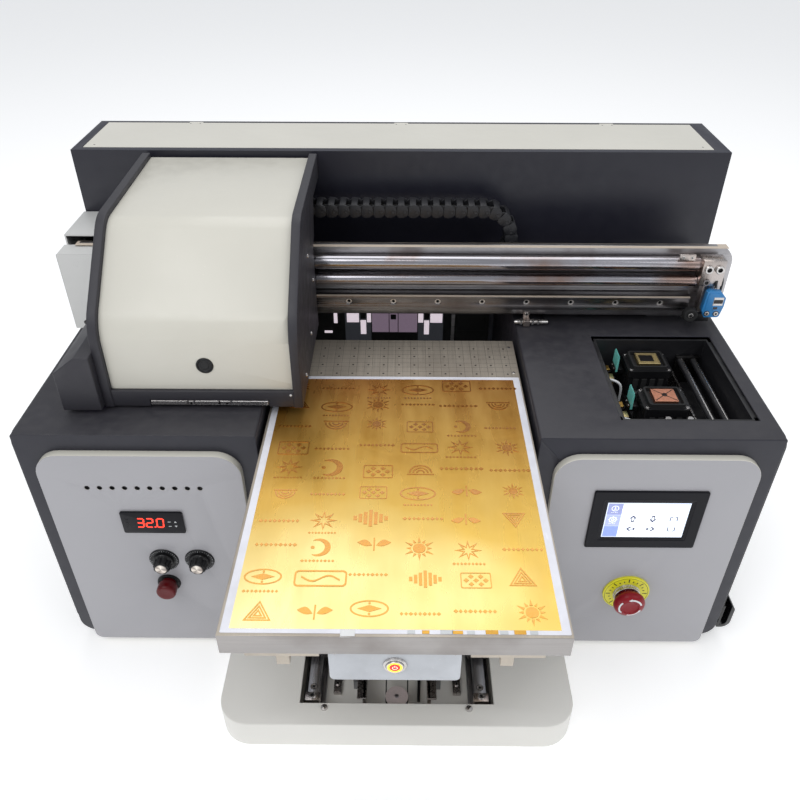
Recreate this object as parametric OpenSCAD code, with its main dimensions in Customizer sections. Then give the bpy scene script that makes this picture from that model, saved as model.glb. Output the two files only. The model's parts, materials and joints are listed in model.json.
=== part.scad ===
// Flatbed ultraviolet printer for small boards and sheets.
// Two side towers carry a cross beam; the print carriage runs along the beam
// and the vacuum bed runs between the towers and lifts on its saddle.
// Frame: +Z up, Y = 0 at the tower fronts with +Y to the rear, X = 0 midway
// between the towers, Z = 0 on the surface that the base tray rests on.

/* [Towers] */
// Clear gap between the two towers
gap_w = 320; // [260:2:390]
// Width of one tower
tower_w = 278; // [265:1:335]
// Height of the tower shell
tower_h = 350; // [345:1:425]
// Depth of the towers, front to back
machine_d = 480; // [474:1:580]
// Height of the rubber feet under the towers
foot_h = 15; // [12:1:25]
// Thickness of the sheet steel
sheet_t = 3; // [2:0.5:4]
// Radius of the lower outer corner of a tower
tower_r = 22; // [10:1:30]
// Thickness of the white side panels
side_t = 3; // [2:0.5:5]

/* [Front panels] */
// Width of a front panel
panel_w = 237; // [225:1:250]
// Height of a front panel
panel_h = 331; // [300:1:345]
// Depth of a front panel
panel_d = 10; // [8:1:14]
// Radius of the panel's upper corners
panel_r = 30; // [15:1:40]
// Distance from the tower's inner wall to the panel
panel_in = 20; // [5:1:30]

/* [Base tray] */
// Width of the tray in front of the towers
tray_w = 438; // [340:2:530]
// Height of the tray
tray_h = 45; // [38:1:54]
// How far the tray stands in front of the towers
tray_front = 157; // [130:1:190]
// Corner radius of the tray
tray_r = 38; // [20:1:60]
// Width of the long opening over the floor rails
slot_w = 240; // [200:2:250]

/* [Rear housing] */
// Height of the rear housing above the towers
housing_h = 206; // [175:1:250]
// Depth of the rear housing
housing_d = 130; // [120:1:150]

/* [Cross beam] */
// Height of the beam plate
plate_h = 100; // [96:1:126]
// Gap between the tower tops and the beam
beam_gap = 12; // [10:1:20]
// Distance from the tower fronts to the plate's front face
plate_y = 262; // [250:1:280]
// Thickness of the beam plate
plate_t = 8; // [6:1:10]
// Radius of the upper polished rod
rod_top_r = 9.5; // [7:0.5:11]
// Radius of the lower polished rod
rod_low_r = 8; // [6:0.5:9]
// Height of the linear rail's face
rail_h = 22; // [18:1:24]
// Spacing of the rail screws
rail_pitch = 60; // [40:5:80]

/* [Carriage] */
// Width of the carriage
carriage_w = 232; // [200:1:260]
// Gap between the tower tops and the carriage
carriage_gap = 4; // [4:0.5:10]
// Height of the carriage
carriage_h = 201; // [190:1:225]
// Width of one side lip of the carriage
lip_w = 10.5; // [6:0.5:16]
// Width of the lamp housing on the carriage's left
lamp_w = 45; // [30:1:50]

/* [Bed] */
// Clearance between the bed and each tower
bed_gap = 5; // [3:0.5:12]
// Length of the bed
bed_l = 483; // [420:1:500]
// Thickness of the vacuum plate
bed_t = 25; // [20:1:30]
// How far the bed's surface lies below the tower tops
bed_drop = 13; // [12:1:20]
// How far the bed stands in front of the towers at rest
bed_front = 256; // [230:1:270]
// Radius of the lift's guide posts
post_r = 8; // [6:0.5:10]

/* [Controls] */
// Radius of the emergency stop's yellow disc
stop_disc_r = 30; // [25:1:36]
// Radius of the emergency stop's mushroom
stop_head_r = 20; // [16:1:24]
// Radius of a knob's dial plate
dial_r = 18.5; // [14:0.5:21]
// Distance between the two knobs
knob_pitch = 45; // [43:1:54]
// Radius of the red push button
button_r = 12.5; // [10:0.5:15]

/* [Hidden] */
$fn = 64;
eps = 0.01;
fit = 0.05;                       // radial clearance of a shaft in its bore
gap = 0.3;                        // clearance where a moving piece lies on another

// towers
in_x = gap_w / 2;                 // inner wall of a tower
out_x = in_x + tower_w;           // outer wall of a tower
wall_x = out_x + side_t;          // outside of the side panels
top_z = foot_h + tower_h;         // tower tops
back_y = machine_d;

// capping well in the right tower
well_x0 = in_x + 99;
well_x1 = out_x - 19;
well_y0 = 35;
well_y1 = well_y0 + 186;
well_d = 66;                      // depth of the well below the tower top

// rear housing
house_y = back_y - housing_d;
house_top = top_z + housing_h;
lid_t = 4;
lid_x0 = -wall_x + 13;
lid_x1 = wall_x - 20;
lid_y0 = house_y + 12;
lid_y1 = back_y - 7;
lid_ledge = 6;
hinge_r = 2;
hinge_y = lid_y1 + 3;
hinge_z = house_top - hinge_r + 0.2;
hinge_len = 20;
hinge_xs = [-300, 0, 300];

// cross beam
beam_z = top_z + beam_gap;
plate_top = beam_z + plate_h;
seat_t = 6;                       // thicker lower band that the rail is screwed to
rail_d = 12;
rail_y = plate_y - seat_t - rail_d;
rail_z = beam_z + 25;
rail_x = out_x - 48;
rod_y = plate_y - 12;
rod_low_z = beam_z + 57;
rod_top_z = rod_low_z + 24;
block_x0 = out_x - 45;
block_x1 = block_x0 + 30;
tube_h = 40;
tube_d = 60;

// belt along the beam, behind the plate
belt_y = plate_y + plate_t + 4;
belt_w = 9;
belt_t = 1.5;
belt_z = beam_z + 71;
belt_r = 10;
motor_x = -out_x + 40;
idle_x = out_x - 25;

// drag chain
chain_y = belt_y + belt_w + 9;
chain_w = 30;
chain_t = 18;
chain_r = 38;
chain_low_z = beam_z + 57;
chain_top_z = chain_low_z + 2 * chain_r;
chain_bend_x = in_x - 48;
chain_tray_z = chain_low_z - chain_t / 2 - gap;

// carriage, parked at the left
car_x1 = -in_x + 49;
car_x0 = car_x1 - carriage_w;
car_z = top_z + carriage_gap;
car_top = car_z + carriage_h;
car_y = 48;                       // front of the carriage
car_knee_y = car_y + 3;
car_knee_z = car_z + 106;
car_slope_y = car_y + 102;
car_slope_z = car_top - 7;
car_back_y = house_y - 7;
car_wall_y = rail_y - 5;          // rear edge of the side walls below the plate top
car_over_z = plate_top + 5;       // lowest part that reaches over the plate
car_flange_z = chain_top_z + chain_t / 2 + 18;
car_skin = 4;
cover_in = 6;                     // the cover lies this far inside the lips
cover_z = car_z + 22;
edge_x0 = car_x0 + 53;                 // window where the head plate shows at the front
edge_x1 = car_x1 - 40;
block_d = 31;                     // depth of a slide block in front of the rail
mount_y = rail_y - block_d;       // face that the carriage is bolted to
head_w = 56;
head_x = car_x1 - lip_w - head_w / 2 - 13;

// bed
bed_w = gap_w - 2 * bed_gap;
bed_z = top_z - bed_drop;         // upper face of the vacuum plate
bed_y0 = -bed_front;
bed_y1 = bed_y0 + bed_l;
bed_low = bed_z - bed_t;
frame_t = 12;
frame_z = bed_low - frame_t;
saddle_t = 8;
floor_block = 13;                 // half width of a block on a floor rail
rail_half = slot_w / 2 - floor_block - 1;
floor_rail_w = 15;
floor_rail_h = 20;
floor_in = 12;                    // the floor rails end this far below the tray's top
floor_bar_h = tray_h - floor_in - floor_rail_h - sheet_t;
saddle_z = sheet_t + floor_bar_h + floor_rail_h + 20;
saddle_y0 = -60;
saddle_l = 220;
saddle_w = 250;
post_x = 90;
post_ys = [saddle_y0 + 25, saddle_y0 + saddle_l - 25];
lift_y = saddle_y0 + saddle_l / 2;
house_h = 140;                    // height of the lift housing on the saddle
lift_top = saddle_z + saddle_t + house_h;
lift_travel = 70;
post_low = saddle_z + saddle_t + lift_travel + 2;
screw_r = 6;
box_w = 120;
box_h = 47;
box_d = 70;
box_y = bed_y0 + 6;

// belt along the tray
y_belt_r = 13;
y_belt_z = 24;
y_front = -tray_front + 46;
slot_y = y_front - 16;               // front edge of the slot in the tray
y_rear = back_y - 50;

// panels and their fittings
panel_x0 = in_x + panel_in;
panel_x1 = panel_x0 + panel_w;
panel_z0 = foot_h - 3;
panel_skin = 2.5;
screen_x = panel_x0 + 117;
screen_z = panel_z0 + 237;
screen_w = 134;
screen_h = 93;
view_w = 98;
view_h = 57;
stop_x = panel_x0 + 117;
stop_z = panel_z0 + 105;
stop_neck_r = 17;
stop_stem_r = 11;
temp_x = -panel_x1 + 121;
temp_z = panel_z0 + 227.5;
temp_w = 75;
temp_h = 34.5;
knob_x = -panel_x1 + 122;
knob_z = panel_z0 + 160;
knob_r = 12;
shaft_r = 3;
red_x = -panel_x1 + 121;
red_z = panel_z0 + 117;
red_stem_r = 9;
vent_z = panel_z0 + 282;
vent_x = -panel_x1 + 53.6;
vent_pitch = 14.7;
vent_r = 3.2;
vent_n = 10;
handle_l = 48;

// ---------- helpers ----------

// outline drawn in (y, z), pulled along X
module along_x(x0, len) {
    translate([x0, 0, 0]) rotate([90, 0, 90]) linear_extrude(len) children();
}

// outline drawn in (x, z), pulled along Y
module along_y(y0, len) {
    translate([0, y0 + len, 0]) rotate([90, 0, 0]) linear_extrude(len) children();
}

// outline drawn in (x, y), pulled along Z
module along_z(z0, len) {
    translate([0, 0, z0]) linear_extrude(len) children();
}

module block(x0, x1, y0, y1, z0, z1) {
    translate([x0, y0, z0]) cube([x1 - x0, y1 - y0, z1 - z0]);
}

module rod_x(x0, len, y, z, r) {
    translate([x0, y, z]) rotate([0, 90, 0]) cylinder(h = len, r = r);
}

module rod_y(y0, len, x, z, r) {
    translate([x, y0, z]) rotate([-90, 0, 0]) cylinder(h = len, r = r);
}

module rod_z(z0, len, x, y, r) {
    translate([x, y, z0]) cylinder(h = len, r = r);
}

// rectangle from (x0, y0) to (x1, y1) with its own radius on each corner, low left first
module rounded(x0, y0, x1, y1, r) {
    polygon(concat(
        corner(x0 + r[0], y0 + r[0], r[0], 180),
        corner(x1 - r[1], y0 + r[1], r[1], 270),
        corner(x1 - r[2], y1 - r[2], r[2], 0),
        corner(x0 + r[3], y1 - r[3], r[3], 90)));
}

function corner(cx, cy, r, start) = r <= 0 ? [[cx, cy]]
    : [for (i = [0:8]) [cx + r * cos(start + i * 90 / 8), cy + r * sin(start + i * 90 / 8)]];

module mirrored() {
    children();
    mirror([1, 0, 0]) children();
}

// ring that a belt makes round two wheels of radius r, centres a and b on the first axis
module belt_outline(a, b, r, t) {
    difference() {
        union() {
            translate([a, 0]) circle(r = r + t);
            translate([b, 0]) circle(r = r + t);
            translate([a, -r - t]) square([b - a, 2 * (r + t)]);
        }
        union() {
            translate([a, 0]) circle(r = r);
            translate([b, 0]) circle(r = r);
            translate([a, -r]) square([b - a, 2 * r]);
        }
    }
}

// ---------- chassis ----------

module tray_outline(inset) {
    half = tray_w / 2 - inset;
    r = tray_r - inset;
    rounded(-half, -tray_front + inset, half, -panel_d - 1 - inset, [r, r, 4, 4]);
    translate([-in_x + inset, -tray_front / 2])
        square([2 * (in_x - inset), tray_front / 2 + back_y - 6 - inset]);
}

module base_tray() color("white") {
    difference() {
        along_z(0, tray_h) tray_outline(0);
        along_z(sheet_t, tray_h - 2 * sheet_t) tray_outline(sheet_t);
        block(-slot_w / 2, slot_w / 2, slot_y, back_y - 20, tray_h / 2, tray_h + 1);
    }
}

module tower_outline(inset) {
    r = tower_r - inset;
    rounded(in_x + inset, foot_h + inset, out_x - inset, top_z - inset, [3, r, 3, 3]);
}

module tower_shell() {
    difference() {
        along_y(0, back_y) tower_outline(0);
        along_y(sheet_t, back_y - 2 * sheet_t) tower_outline(sheet_t);
    }
}

module tower_left() color("dimgray") {
    difference() {
        mirror([1, 0, 0]) tower_shell();
        rod_y(-1, sheet_t + 2, red_x, red_z, button_r);
        for (i = [0, 1]) rod_y(-1, sheet_t + 2, knob_x + i * knob_pitch, knob_z, knob_r);
        block(temp_x - temp_w / 2 + 2, temp_x + temp_w / 2 - 2, -1, sheet_t + 1,
            temp_z - temp_h / 2 + 2, temp_z + temp_h / 2 - 2);
        inlet_hole();
    }
}

module tower_right() color("dimgray") {
    difference() {
        tower_shell();
        block(well_x0, well_x1, well_y0, well_y1, top_z - sheet_t - 1, top_z + 1);
        rod_y(-1, sheet_t + 2, stop_x, stop_z, stop_neck_r);
    }
}

module side_panels() color("white") mirrored()
    along_x(out_x, side_t)
        rounded(sheet_t, foot_h + tower_r, back_y - sheet_t, top_z - 4, [12, 12, 12, 12]);

// front cover of a tower: a shallow pan, open towards the tower
module panel_pan() {
    difference() {
        along_y(-panel_d, panel_d)
            rounded(panel_x0, panel_z0, panel_x1, panel_z0 + panel_h, [10, 10, panel_r, panel_r]);
        along_y(-panel_d + panel_skin, panel_d)
            rounded(panel_x0 + panel_skin, panel_z0 + panel_skin, panel_x1 - panel_skin,
                panel_z0 + panel_h - panel_skin, [8, 8, panel_r - panel_skin, panel_r - panel_skin]);
    }
}

module panel_left() color("white") {
    difference() {
        mirror([1, 0, 0]) panel_pan();
        for (i = [0:vent_n - 1])
            rod_y(-panel_d - 1, panel_skin + 2, vent_x + i * vent_pitch, vent_z, vent_r);
        block(temp_x - temp_w / 2 + 2, temp_x + temp_w / 2 - 2, -panel_d - 1, 0,
            temp_z - temp_h / 2 + 2, temp_z + temp_h / 2 - 2);
        for (i = [0, 1])
            rod_y(-panel_d - 1, panel_skin + 2, knob_x + i * knob_pitch, knob_z, shaft_r + 1);
        rod_y(-panel_d - 1, panel_skin + 2, red_x, red_z, red_stem_r + 1);
    }
}

module panel_right() color("white") {
    difference() {
        panel_pan();
        block(screen_x - view_w / 2, screen_x + view_w / 2, -panel_d - 1, 0,
            screen_z - view_h / 2, screen_z + view_h / 2);
        rod_y(-panel_d - 1, panel_skin + 2, stop_x, stop_z, stop_neck_r - 1);
    }
}

module feet() color("black") mirrored()
    for (x = [in_x + 50, out_x - 50], y = [60, back_y - 60])
        rod_z(0, foot_h, x, y, 20);

// grip on the outside of a tower: a lip that curls up from its foot
module grip() {
    difference() {
        rounded(0, 0, 17, 44, [2, 12, 8, 2]);
        rounded(-1, 5, 12, 45, [0, 8, 0, 0]);
    }
}

module side_handle(y) along_y(y, handle_l) translate([wall_x, foot_h + 12]) {
    grip();
    rounded(0, 0, 3, 44, [1, 1, 1, 1]);
}

// two at the back, and one more at the front on the right
module side_handles() color("dimgray") {
    side_handle(4);
    mirrored() side_handle(back_y - handle_l - 4);
}

module rear_housing() color("midnightblue") {
    difference() {
        block(-wall_x, wall_x, house_y, back_y, top_z, house_top);
        block(-wall_x + sheet_t, wall_x - sheet_t, house_y + sheet_t, back_y - sheet_t,
            top_z + sheet_t, house_top - lid_t - sheet_t);
        block(lid_x0 - 1, lid_x1 + 1, lid_y0 - 1, lid_y1 + 1, house_top - lid_t, house_top + 1);
        block(lid_x0 + lid_ledge, lid_x1 - lid_ledge, lid_y0 + lid_ledge, lid_y1 - lid_ledge,
            house_top - lid_t - sheet_t - 1, house_top);
        for (x = hinge_xs)
            rod_x(x - hinge_len / 2 - gap, hinge_len + 2 * gap, hinge_y, hinge_z, hinge_r + gap);
        for (x = hinge_xs)
            block(x - hinge_len / 2 - gap, x + hinge_len / 2 + gap, lid_y1, hinge_y,
                hinge_z - hinge_r / 2 - gap, house_top + 1);
    }
    for (x = hinge_xs, side = [-1, 1])
        rod_x(x + side * (hinge_len / 2 + gap + 6) - 6, 12, hinge_y, hinge_z, hinge_r);
    for (x = hinge_xs)
        rod_x(x - hinge_len / 2 - 2, hinge_len + 4, hinge_y, hinge_z, hinge_r / 2);
}

module lid() color("ivory") {
    difference() {
        union() {
            block(lid_x0, lid_x1, lid_y0, lid_y1, house_top - lid_t + gap, house_top);
            for (x = hinge_xs) {
                rod_x(x - hinge_len / 2, hinge_len, hinge_y, hinge_z, hinge_r);
                block(x - hinge_len / 2, x + hinge_len / 2, lid_y1 - 1, hinge_y,
                    hinge_z - hinge_r / 2, hinge_z + hinge_r / 2);
            }
        }
        for (x = hinge_xs)
            rod_x(x - hinge_len, 2 * hinge_len, hinge_y, hinge_z, hinge_r / 2 + fit);
    }
}

module back_panel() color("dimgray") {
    difference() {
        block(-in_x, in_x, back_y - 6, back_y - 6 + sheet_t, tray_h, top_z);
        for (i = [0:9], x = [-90, 90])
            block(x - 40, x + 40, back_y - 7, back_y, tray_h + 60 + i * 12, tray_h + 65 + i * 12);
    }
}

inlet_x = -in_x - 70;
inlet_z = foot_h + 60;
inlet_w = 28;
inlet_h = 22;

module inlet_hole() {
    block(inlet_x - inlet_w / 2, inlet_x + inlet_w / 2, back_y - sheet_t - 1, back_y + 1,
        inlet_z - inlet_h / 2, inlet_z + inlet_h / 2);
}

module power_inlet() color("black") {
    difference() {
        union() {
            along_y(back_y, 2)
                rounded(inlet_x - 25, inlet_z - 15, inlet_x + 25, inlet_z + 15, [6, 6, 6, 6]);
            block(inlet_x - inlet_w / 2, inlet_x + inlet_w / 2, back_y - 22, back_y + 1,
                inlet_z - inlet_h / 2, inlet_z + inlet_h / 2);
        }
        along_y(back_y - 17, 20) rounded(inlet_x - inlet_w / 2 + 2, inlet_z - inlet_h / 2 + 2,
            inlet_x + inlet_w / 2 - 2, inlet_z + inlet_h / 2 - 2, [1, 1, 5, 5]);
    }
    for (pin = [[-7, -3], [0, -6], [7, -3]])
        block(inlet_x + pin[0] - 1, inlet_x + pin[0] + 1, back_y - 19, back_y - 3,
            inlet_z + pin[1] - 2, inlet_z + pin[1] + 2);
}

// ---------- cross beam ----------

module beam_plate() color("lightgray") {
    along_y(plate_y, plate_t)
        rounded(-out_x + 12, beam_z, wall_x, plate_top, [2, 2, 24, 4]);
    block(-block_x0, block_x0, plate_y - seat_t, plate_y, beam_z, beam_z + 36);
}

module beam_tube() color("gray") {
    difference() {
        block(-out_x + 10, out_x - 10, plate_y + plate_t, plate_y + plate_t + tube_d,
            beam_z, beam_z + tube_h);
        block(-out_x + 9, out_x - 9, plate_y + plate_t + 4, plate_y + plate_t + tube_d - 4,
            beam_z + 4, beam_z + tube_h - 4);
    }
    for (x = [-out_x + 30, out_x - 90])
        block(x, x + 60, plate_y + plate_t + 5, plate_y + plate_t + tube_d - 5, top_z, beam_z);
}

module rods() color("silver") {
    rod_x(-block_x0, 2 * block_x0, rod_y, rod_top_z, rod_top_r);
    rod_x(-block_x0, 2 * block_x0, rod_y, rod_low_z, rod_low_r);
}

rail_xs = [for (x = [-rail_x + 21.5 : rail_pitch : rail_x - 10]) x];
head_r = 3.8;
head_depth = 6;                   // depth of a screw's counterbore in the rail

module rail() color("silver") difference() {
    block(-rail_x, rail_x, rail_y, rail_y + rail_d, rail_z - rail_h / 2, rail_z + rail_h / 2);
    for (x = rail_xs) rod_y(rail_y - 1, head_depth + 1, x, rail_z, head_r + 0.7);
}

module screws() color("gainsboro") {
    for (x = rail_xs) rod_y(rail_y + 1.5, head_depth - 1.5, x, rail_z, head_r);
    for (x = [block_x0 + 8, block_x0 + 22])
        rod_y(rail_y - 12, 3, x, rod_top_z, 4);
    for (x = [-89, 89])
        rod_z(tray_h, 3, x, slot_y - 7, 4);
}

// upright block that holds the rods at each end of the beam
module end_block() {
    block(block_x0, block_x1, rail_y - 9, plate_y, beam_z, plate_top - 8);
}

module end_blocks() color("silver") mirrored() end_block();

module end_cover() color("white") {
    x0 = -wall_x - 2;
    x1 = -wall_x + 90;
    y0 = rail_y - 11;
    difference() {
        along_y(y0, plate_y - y0) rounded(x0, top_z, x1, plate_top - 2, [1, 14, 2, 2]);
        block(x0 + 2, x1 + 1, y0 + 2, plate_y + 1, top_z - 1, plate_top - 4);
    }
    difference() {
        block(x0, x1, plate_y + plate_t + 1, house_y - 1, top_z, plate_top + 8);
        block(x0 + 2, x1 + 1, plate_y + plate_t, house_y - 3, top_z - 1, plate_top + 6);
    }
}

module limit_sensor() color("steelblue") {
    sx = block_x0 + 7;
    sz = top_z + 26;
    difference() {
        block(sx, sx + 30, rail_y - 19, rail_y - 9, sz, sz + 42);
        block(sx + 9, sx + 21, rail_y - 20, rail_y - 13, sz + 24, sz + 43);
    }
}

module proximity_sensor() color("goldenrod") {
    px = in_x + 10;
    py = rail_y + 3;
    block(px, px + 9, plate_y - seat_t - 3, plate_y - seat_t, beam_z - 11, beam_z + 6);
    block(px, px + 9, py - 5.5, plate_y - seat_t - 2, beam_z - 11, beam_z - 1.5);
    rod_x(px - 12, 46, py, beam_z - 6.5, 3.5);
}

module bumper() color("black") rod_y(rail_y - 18, 9, block_x0 - 3.5, rail_z - 9, 9.5);

module drive_motors() color("dimgray") {
    // carriage motor, behind the left end of the beam
    block(motor_x - 21, motor_x + 21, belt_y + belt_w + 3, house_y - 5, belt_z - 21, belt_z + 21);
    rod_y(belt_y - 2, belt_w + 6, motor_x, belt_z, 2.5);
    block(motor_x - 21, motor_x + 21, belt_y + belt_w + 3, belt_y + belt_w + 8,
        beam_z + tube_h, belt_z);
    // bed motor, under the rear of the tray
    rod_z(sheet_t, 34, 0, y_rear, 2.5);
    block(-28, 28, y_rear - 28, y_rear + 28, y_belt_z + 12, y_belt_z + 60);
    for (x = [-34, 34])
        block(x - 6, x + 6, y_rear - 28, y_rear + 28, sheet_t, y_belt_z + 20);
}

module x_belt() color("black")
    along_y(belt_y, belt_w) translate([0, belt_z]) belt_outline(motor_x, idle_x, belt_r + fit, belt_t);

// toothed wheel on a bore of radius 2.5
module pulley(r, w, flange) {
    difference() {
        union() {
            cylinder(h = w, r = r);
            translate([0, 0, -1.5]) cylinder(h = 1.5 - gap / 2, r = r + flange);
            translate([0, 0, w + gap / 2]) cylinder(h = 1.5 - gap / 2, r = r + flange);
            translate([0, 0, -1.5]) cylinder(h = w + 3, r = r - 1);
        }
        translate([0, 0, -3]) cylinder(h = w + 6, r = 2.5 + fit);
    }
}

module x_pulley_drive() color("silver")
    translate([motor_x, belt_y, belt_z]) rotate([-90, 0, 0]) pulley(belt_r, belt_w, 1.2);

module x_pulley_idle() color("silver")
    translate([idle_x, belt_y, belt_z]) rotate([-90, 0, 0]) pulley(belt_r, belt_w, 1.2);

module chain_tray() color("dimgray") {
    y0 = chain_y - 3;
    y1 = chain_y + chain_w + 8;
    block(-in_x - 180, out_x - 5, y0, y1, chain_tray_z - 2, chain_tray_z);
    block(-in_x - 180, out_x - 5, plate_y + plate_t + tube_d - 6, plate_y + plate_t + tube_d,
        beam_z + tube_h, chain_tray_z);
    // stub axle of the idle wheel
    rod_y(plate_y + plate_t, belt_w + 9, idle_x, belt_z, 2.5);
}

// chain: upper run, bend and lower run as one band
module drag_chain() color("black") {
    zc = (chain_low_z + chain_top_z) / 2;
    x_end = car_x0 + 12;
    along_y(chain_y, chain_w) {
        translate([x_end, chain_top_z - chain_t / 2]) square([chain_bend_x - x_end, chain_t]);
        translate([-100, chain_low_z - chain_t / 2]) square([chain_bend_x + 100, chain_t]);
        intersection() {
            difference() {
                translate([chain_bend_x, zc]) circle(r = chain_r + chain_t / 2);
                translate([chain_bend_x, zc]) circle(r = chain_r - chain_t / 2);
            }
            translate([chain_bend_x, zc - chain_r - chain_t])
                square([chain_r + chain_t, 2 * (chain_r + chain_t)]);
        }
    }
}

// ---------- base: floor rails and belt ----------

module y_rails() color("silver") mirrored() {
    block(rail_half - 14, rail_half + 14, y_front - 4, back_y - 30, sheet_t, sheet_t + floor_bar_h);
    block(rail_half - floor_rail_w / 2, rail_half + floor_rail_w / 2, y_front - 4, back_y - 30,
        sheet_t + floor_bar_h, sheet_t + floor_bar_h + floor_rail_h);
    block(45, 57, y_front + 30, back_y - 110, sheet_t, sheet_t + 24);
    // half of the front wheel's stand, completed by its mirror image
    intersection() {
        union() {
            rod_z(sheet_t, y_belt_z - 2 - sheet_t, 0, y_front, 8);
            rod_z(sheet_t, y_belt_z + belt_w + 3 - sheet_t, 0, y_front, 2.5);
        }
        block(0, 20, y_front - 20, y_front + 20, 0, tray_h);
    }
}

module y_belt() color("black") {
    along_z(y_belt_z, belt_w) rotate(90) belt_outline(y_front, y_rear, y_belt_r + fit, belt_t);
}

module y_pulley_front() color("silver")
    translate([0, y_front, y_belt_z]) pulley(y_belt_r, belt_w, 1.5);

module y_pulley_rear() color("silver")
    translate([0, y_rear, y_belt_z]) pulley(y_belt_r, belt_w, 1.5);

// ---------- panel fittings ----------

module screen_bezel() color("black") {
    difference() {
        along_y(-panel_d - 3, 3) rounded(screen_x - screen_w / 2, screen_z - screen_h / 2,
            screen_x + screen_w / 2, screen_z + screen_h / 2, [3, 3, 3, 3]);
        block(screen_x - view_w / 2 - 0.5, screen_x + view_w / 2 + 0.5, -panel_d - 4, 0,
            screen_z - view_h / 2 - 0.5, screen_z + view_h / 2 + 0.5);
    }
}

module screen_glass() color("lightblue")
    block(screen_x - view_w / 2, screen_x + view_w / 2, -panel_d - 2, -panel_d + 6,
        screen_z - view_h / 2, screen_z + view_h / 2);

module temp_controller() color("black") {
    along_y(-panel_d - 3, 3) rounded(temp_x - temp_w / 2, temp_z - temp_h / 2,
        temp_x + temp_w / 2, temp_z + temp_h / 2, [3, 3, 3, 3]);
    block(temp_x - temp_w / 2 + 3, temp_x + temp_w / 2 - 3, -panel_d - 1, 50,
        temp_z - temp_h / 2 + 3, temp_z + temp_h / 2 - 3);
}

module dial_plates() color("black") {
    for (i = [0, 1]) translate([knob_x + i * knob_pitch, 0, knob_z]) difference() {
        union() {
            rod_y(-panel_d - 2, 2, 0, 0, dial_r);
            rod_y(-panel_d - 1, 22, 0, 0, shaft_r + 1);
            rod_y(-1, 18, 0, 0, knob_r - 1);
        }
        rod_y(-panel_d - 3, 25, 0, 0, shaft_r + fit);
    }
    translate([red_x, 0, red_z]) difference() {
        union() {
            rod_y(-panel_d - 3, 3, 0, 0, button_r + 2.3);
            rod_y(-panel_d - 1, 32, 0, 0, red_stem_r + 1);
        }
        rod_y(-panel_d - 4, 30, 0, 0, red_stem_r + fit);
    }
}

module knob() {
    translate([0, -panel_d - 2 - gap, 0]) rotate([90, 0, 0]) {
        cylinder(h = 3, r = knob_r + 1);
        translate([0, 0, 2]) cylinder(h = 12, r = knob_r - 1);
        translate([0, 0, 13]) cylinder(h = 2, r = knob_r - 3);
    }
    rod_y(-panel_d - 3, 18, 0, 0, shaft_r);
}

module knob_left() color("black") translate([knob_x, 0, knob_z]) knob();

module knob_right() color("black") translate([knob_x + knob_pitch, 0, knob_z]) knob();

module red_button() color("darkred") translate([red_x, 0, red_z]) {
    rod_y(-panel_d - 20, 13, 0, 0, button_r);
    rod_y(-panel_d - 8, 24, 0, 0, red_stem_r);
}

module stop_plate() color("gold") translate([stop_x, 0, stop_z]) difference() {
    union() {
        rod_y(-panel_d - 3, 3, 0, 0, stop_disc_r);
        rod_y(-panel_d - 9, 6 + eps, 0, 0, stop_neck_r);
        rod_y(-panel_d - 3, 40, 0, 0, stop_neck_r - 2);
    }
    rod_y(-panel_d - 10, 30, 0, 0, stop_stem_r + fit);
}

module stop_head() color("red") translate([stop_x, 0, stop_z]) {
    rotate([90, 0, 0]) translate([0, 0, panel_d + 14]) {
        cylinder(h = 4, r1 = stop_head_r - 3, r2 = stop_head_r);
        translate([0, 0, 4 - eps]) cylinder(h = 5, r = stop_head_r);
        translate([0, 0, 9 - 2 * eps]) cylinder(h = 5, r1 = stop_head_r, r2 = stop_head_r - 6);
    }
    rod_y(-panel_d - 15, 18, 0, 0, stop_stem_r);
}

// ---------- capping well ----------

cap_w = 57;
cap_l = 44;
cap_x = well_x0 + 41.5;
cap_ys = [well_y0 + 44, well_y0 + 127];
cap_floor = top_z - well_d;
cap_base_z = cap_floor + 2;
cap_top = top_z - 13;
guide_r = 4;
guides = [[cap_x + 6, well_y0 + 107.5], [cap_x + cap_w - 6, well_y0 + 107.5]];

module cap_deck() color("dimgray") {
    m = 3;
    difference() {
        block(well_x0 + m, well_x1 - m, well_y0 + m, well_y1 - m, cap_floor - sheet_t, top_z - sheet_t);
        block(well_x0 + 2 * m, well_x1 - 2 * m, well_y0 + 2 * m, well_y1 - 2 * m,
            cap_floor, top_z);
    }
    block(well_x0 - 8, well_x0 + 2 * m, well_y0 + 10, well_y1 - 10, top_z - 2 * sheet_t, top_z - sheet_t);
    block(well_x1 - 2 * m, well_x1 + 8, well_y0 + 10, well_y1 - 10, top_z - 2 * sheet_t, top_z - sheet_t);
    for (x = [well_x1 - 38, well_x1 - 20])
        rod_y(well_y0 + 5, well_y1 - well_y0 - 10, x, top_z - 30, 3.5);
    for (p = guides) rod_z(cap_floor - 1, 30, p[0], p[1], guide_r);
}

module cap_stations() color("black") {
    difference() {
        union() {
            block(cap_x, cap_x + cap_w, cap_ys[0], cap_ys[1] + cap_l, cap_base_z, cap_base_z + 5);
            for (y = cap_ys)
                block(cap_x, cap_x + cap_w, y, y + cap_l, cap_base_z, cap_top);
        }
        for (p = guides) rod_z(cap_base_z - 1, 8, p[0], p[1], guide_r + fit);
        for (y = cap_ys)
            block(cap_x + 12, cap_x + cap_w - 12, y + 8, y + cap_l - 6, cap_top - 5, cap_top + 1);
    }
}

module cap_inserts() color("peru")
    for (y = cap_ys)
        block(cap_x + 14, cap_x + cap_w - 14, y + 10, y + cap_l - 8, cap_top - 5, cap_top + 2);

module wipers() color("mediumturquoise")
    for (y = cap_ys) {
        block(cap_x - 12, cap_x - 9, y + 18, y + 38, cap_base_z + 32, cap_top + 6);
        block(cap_x - 14, cap_x, y + 22, y + 34, cap_base_z + 26, cap_base_z + 34);
    }

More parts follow.
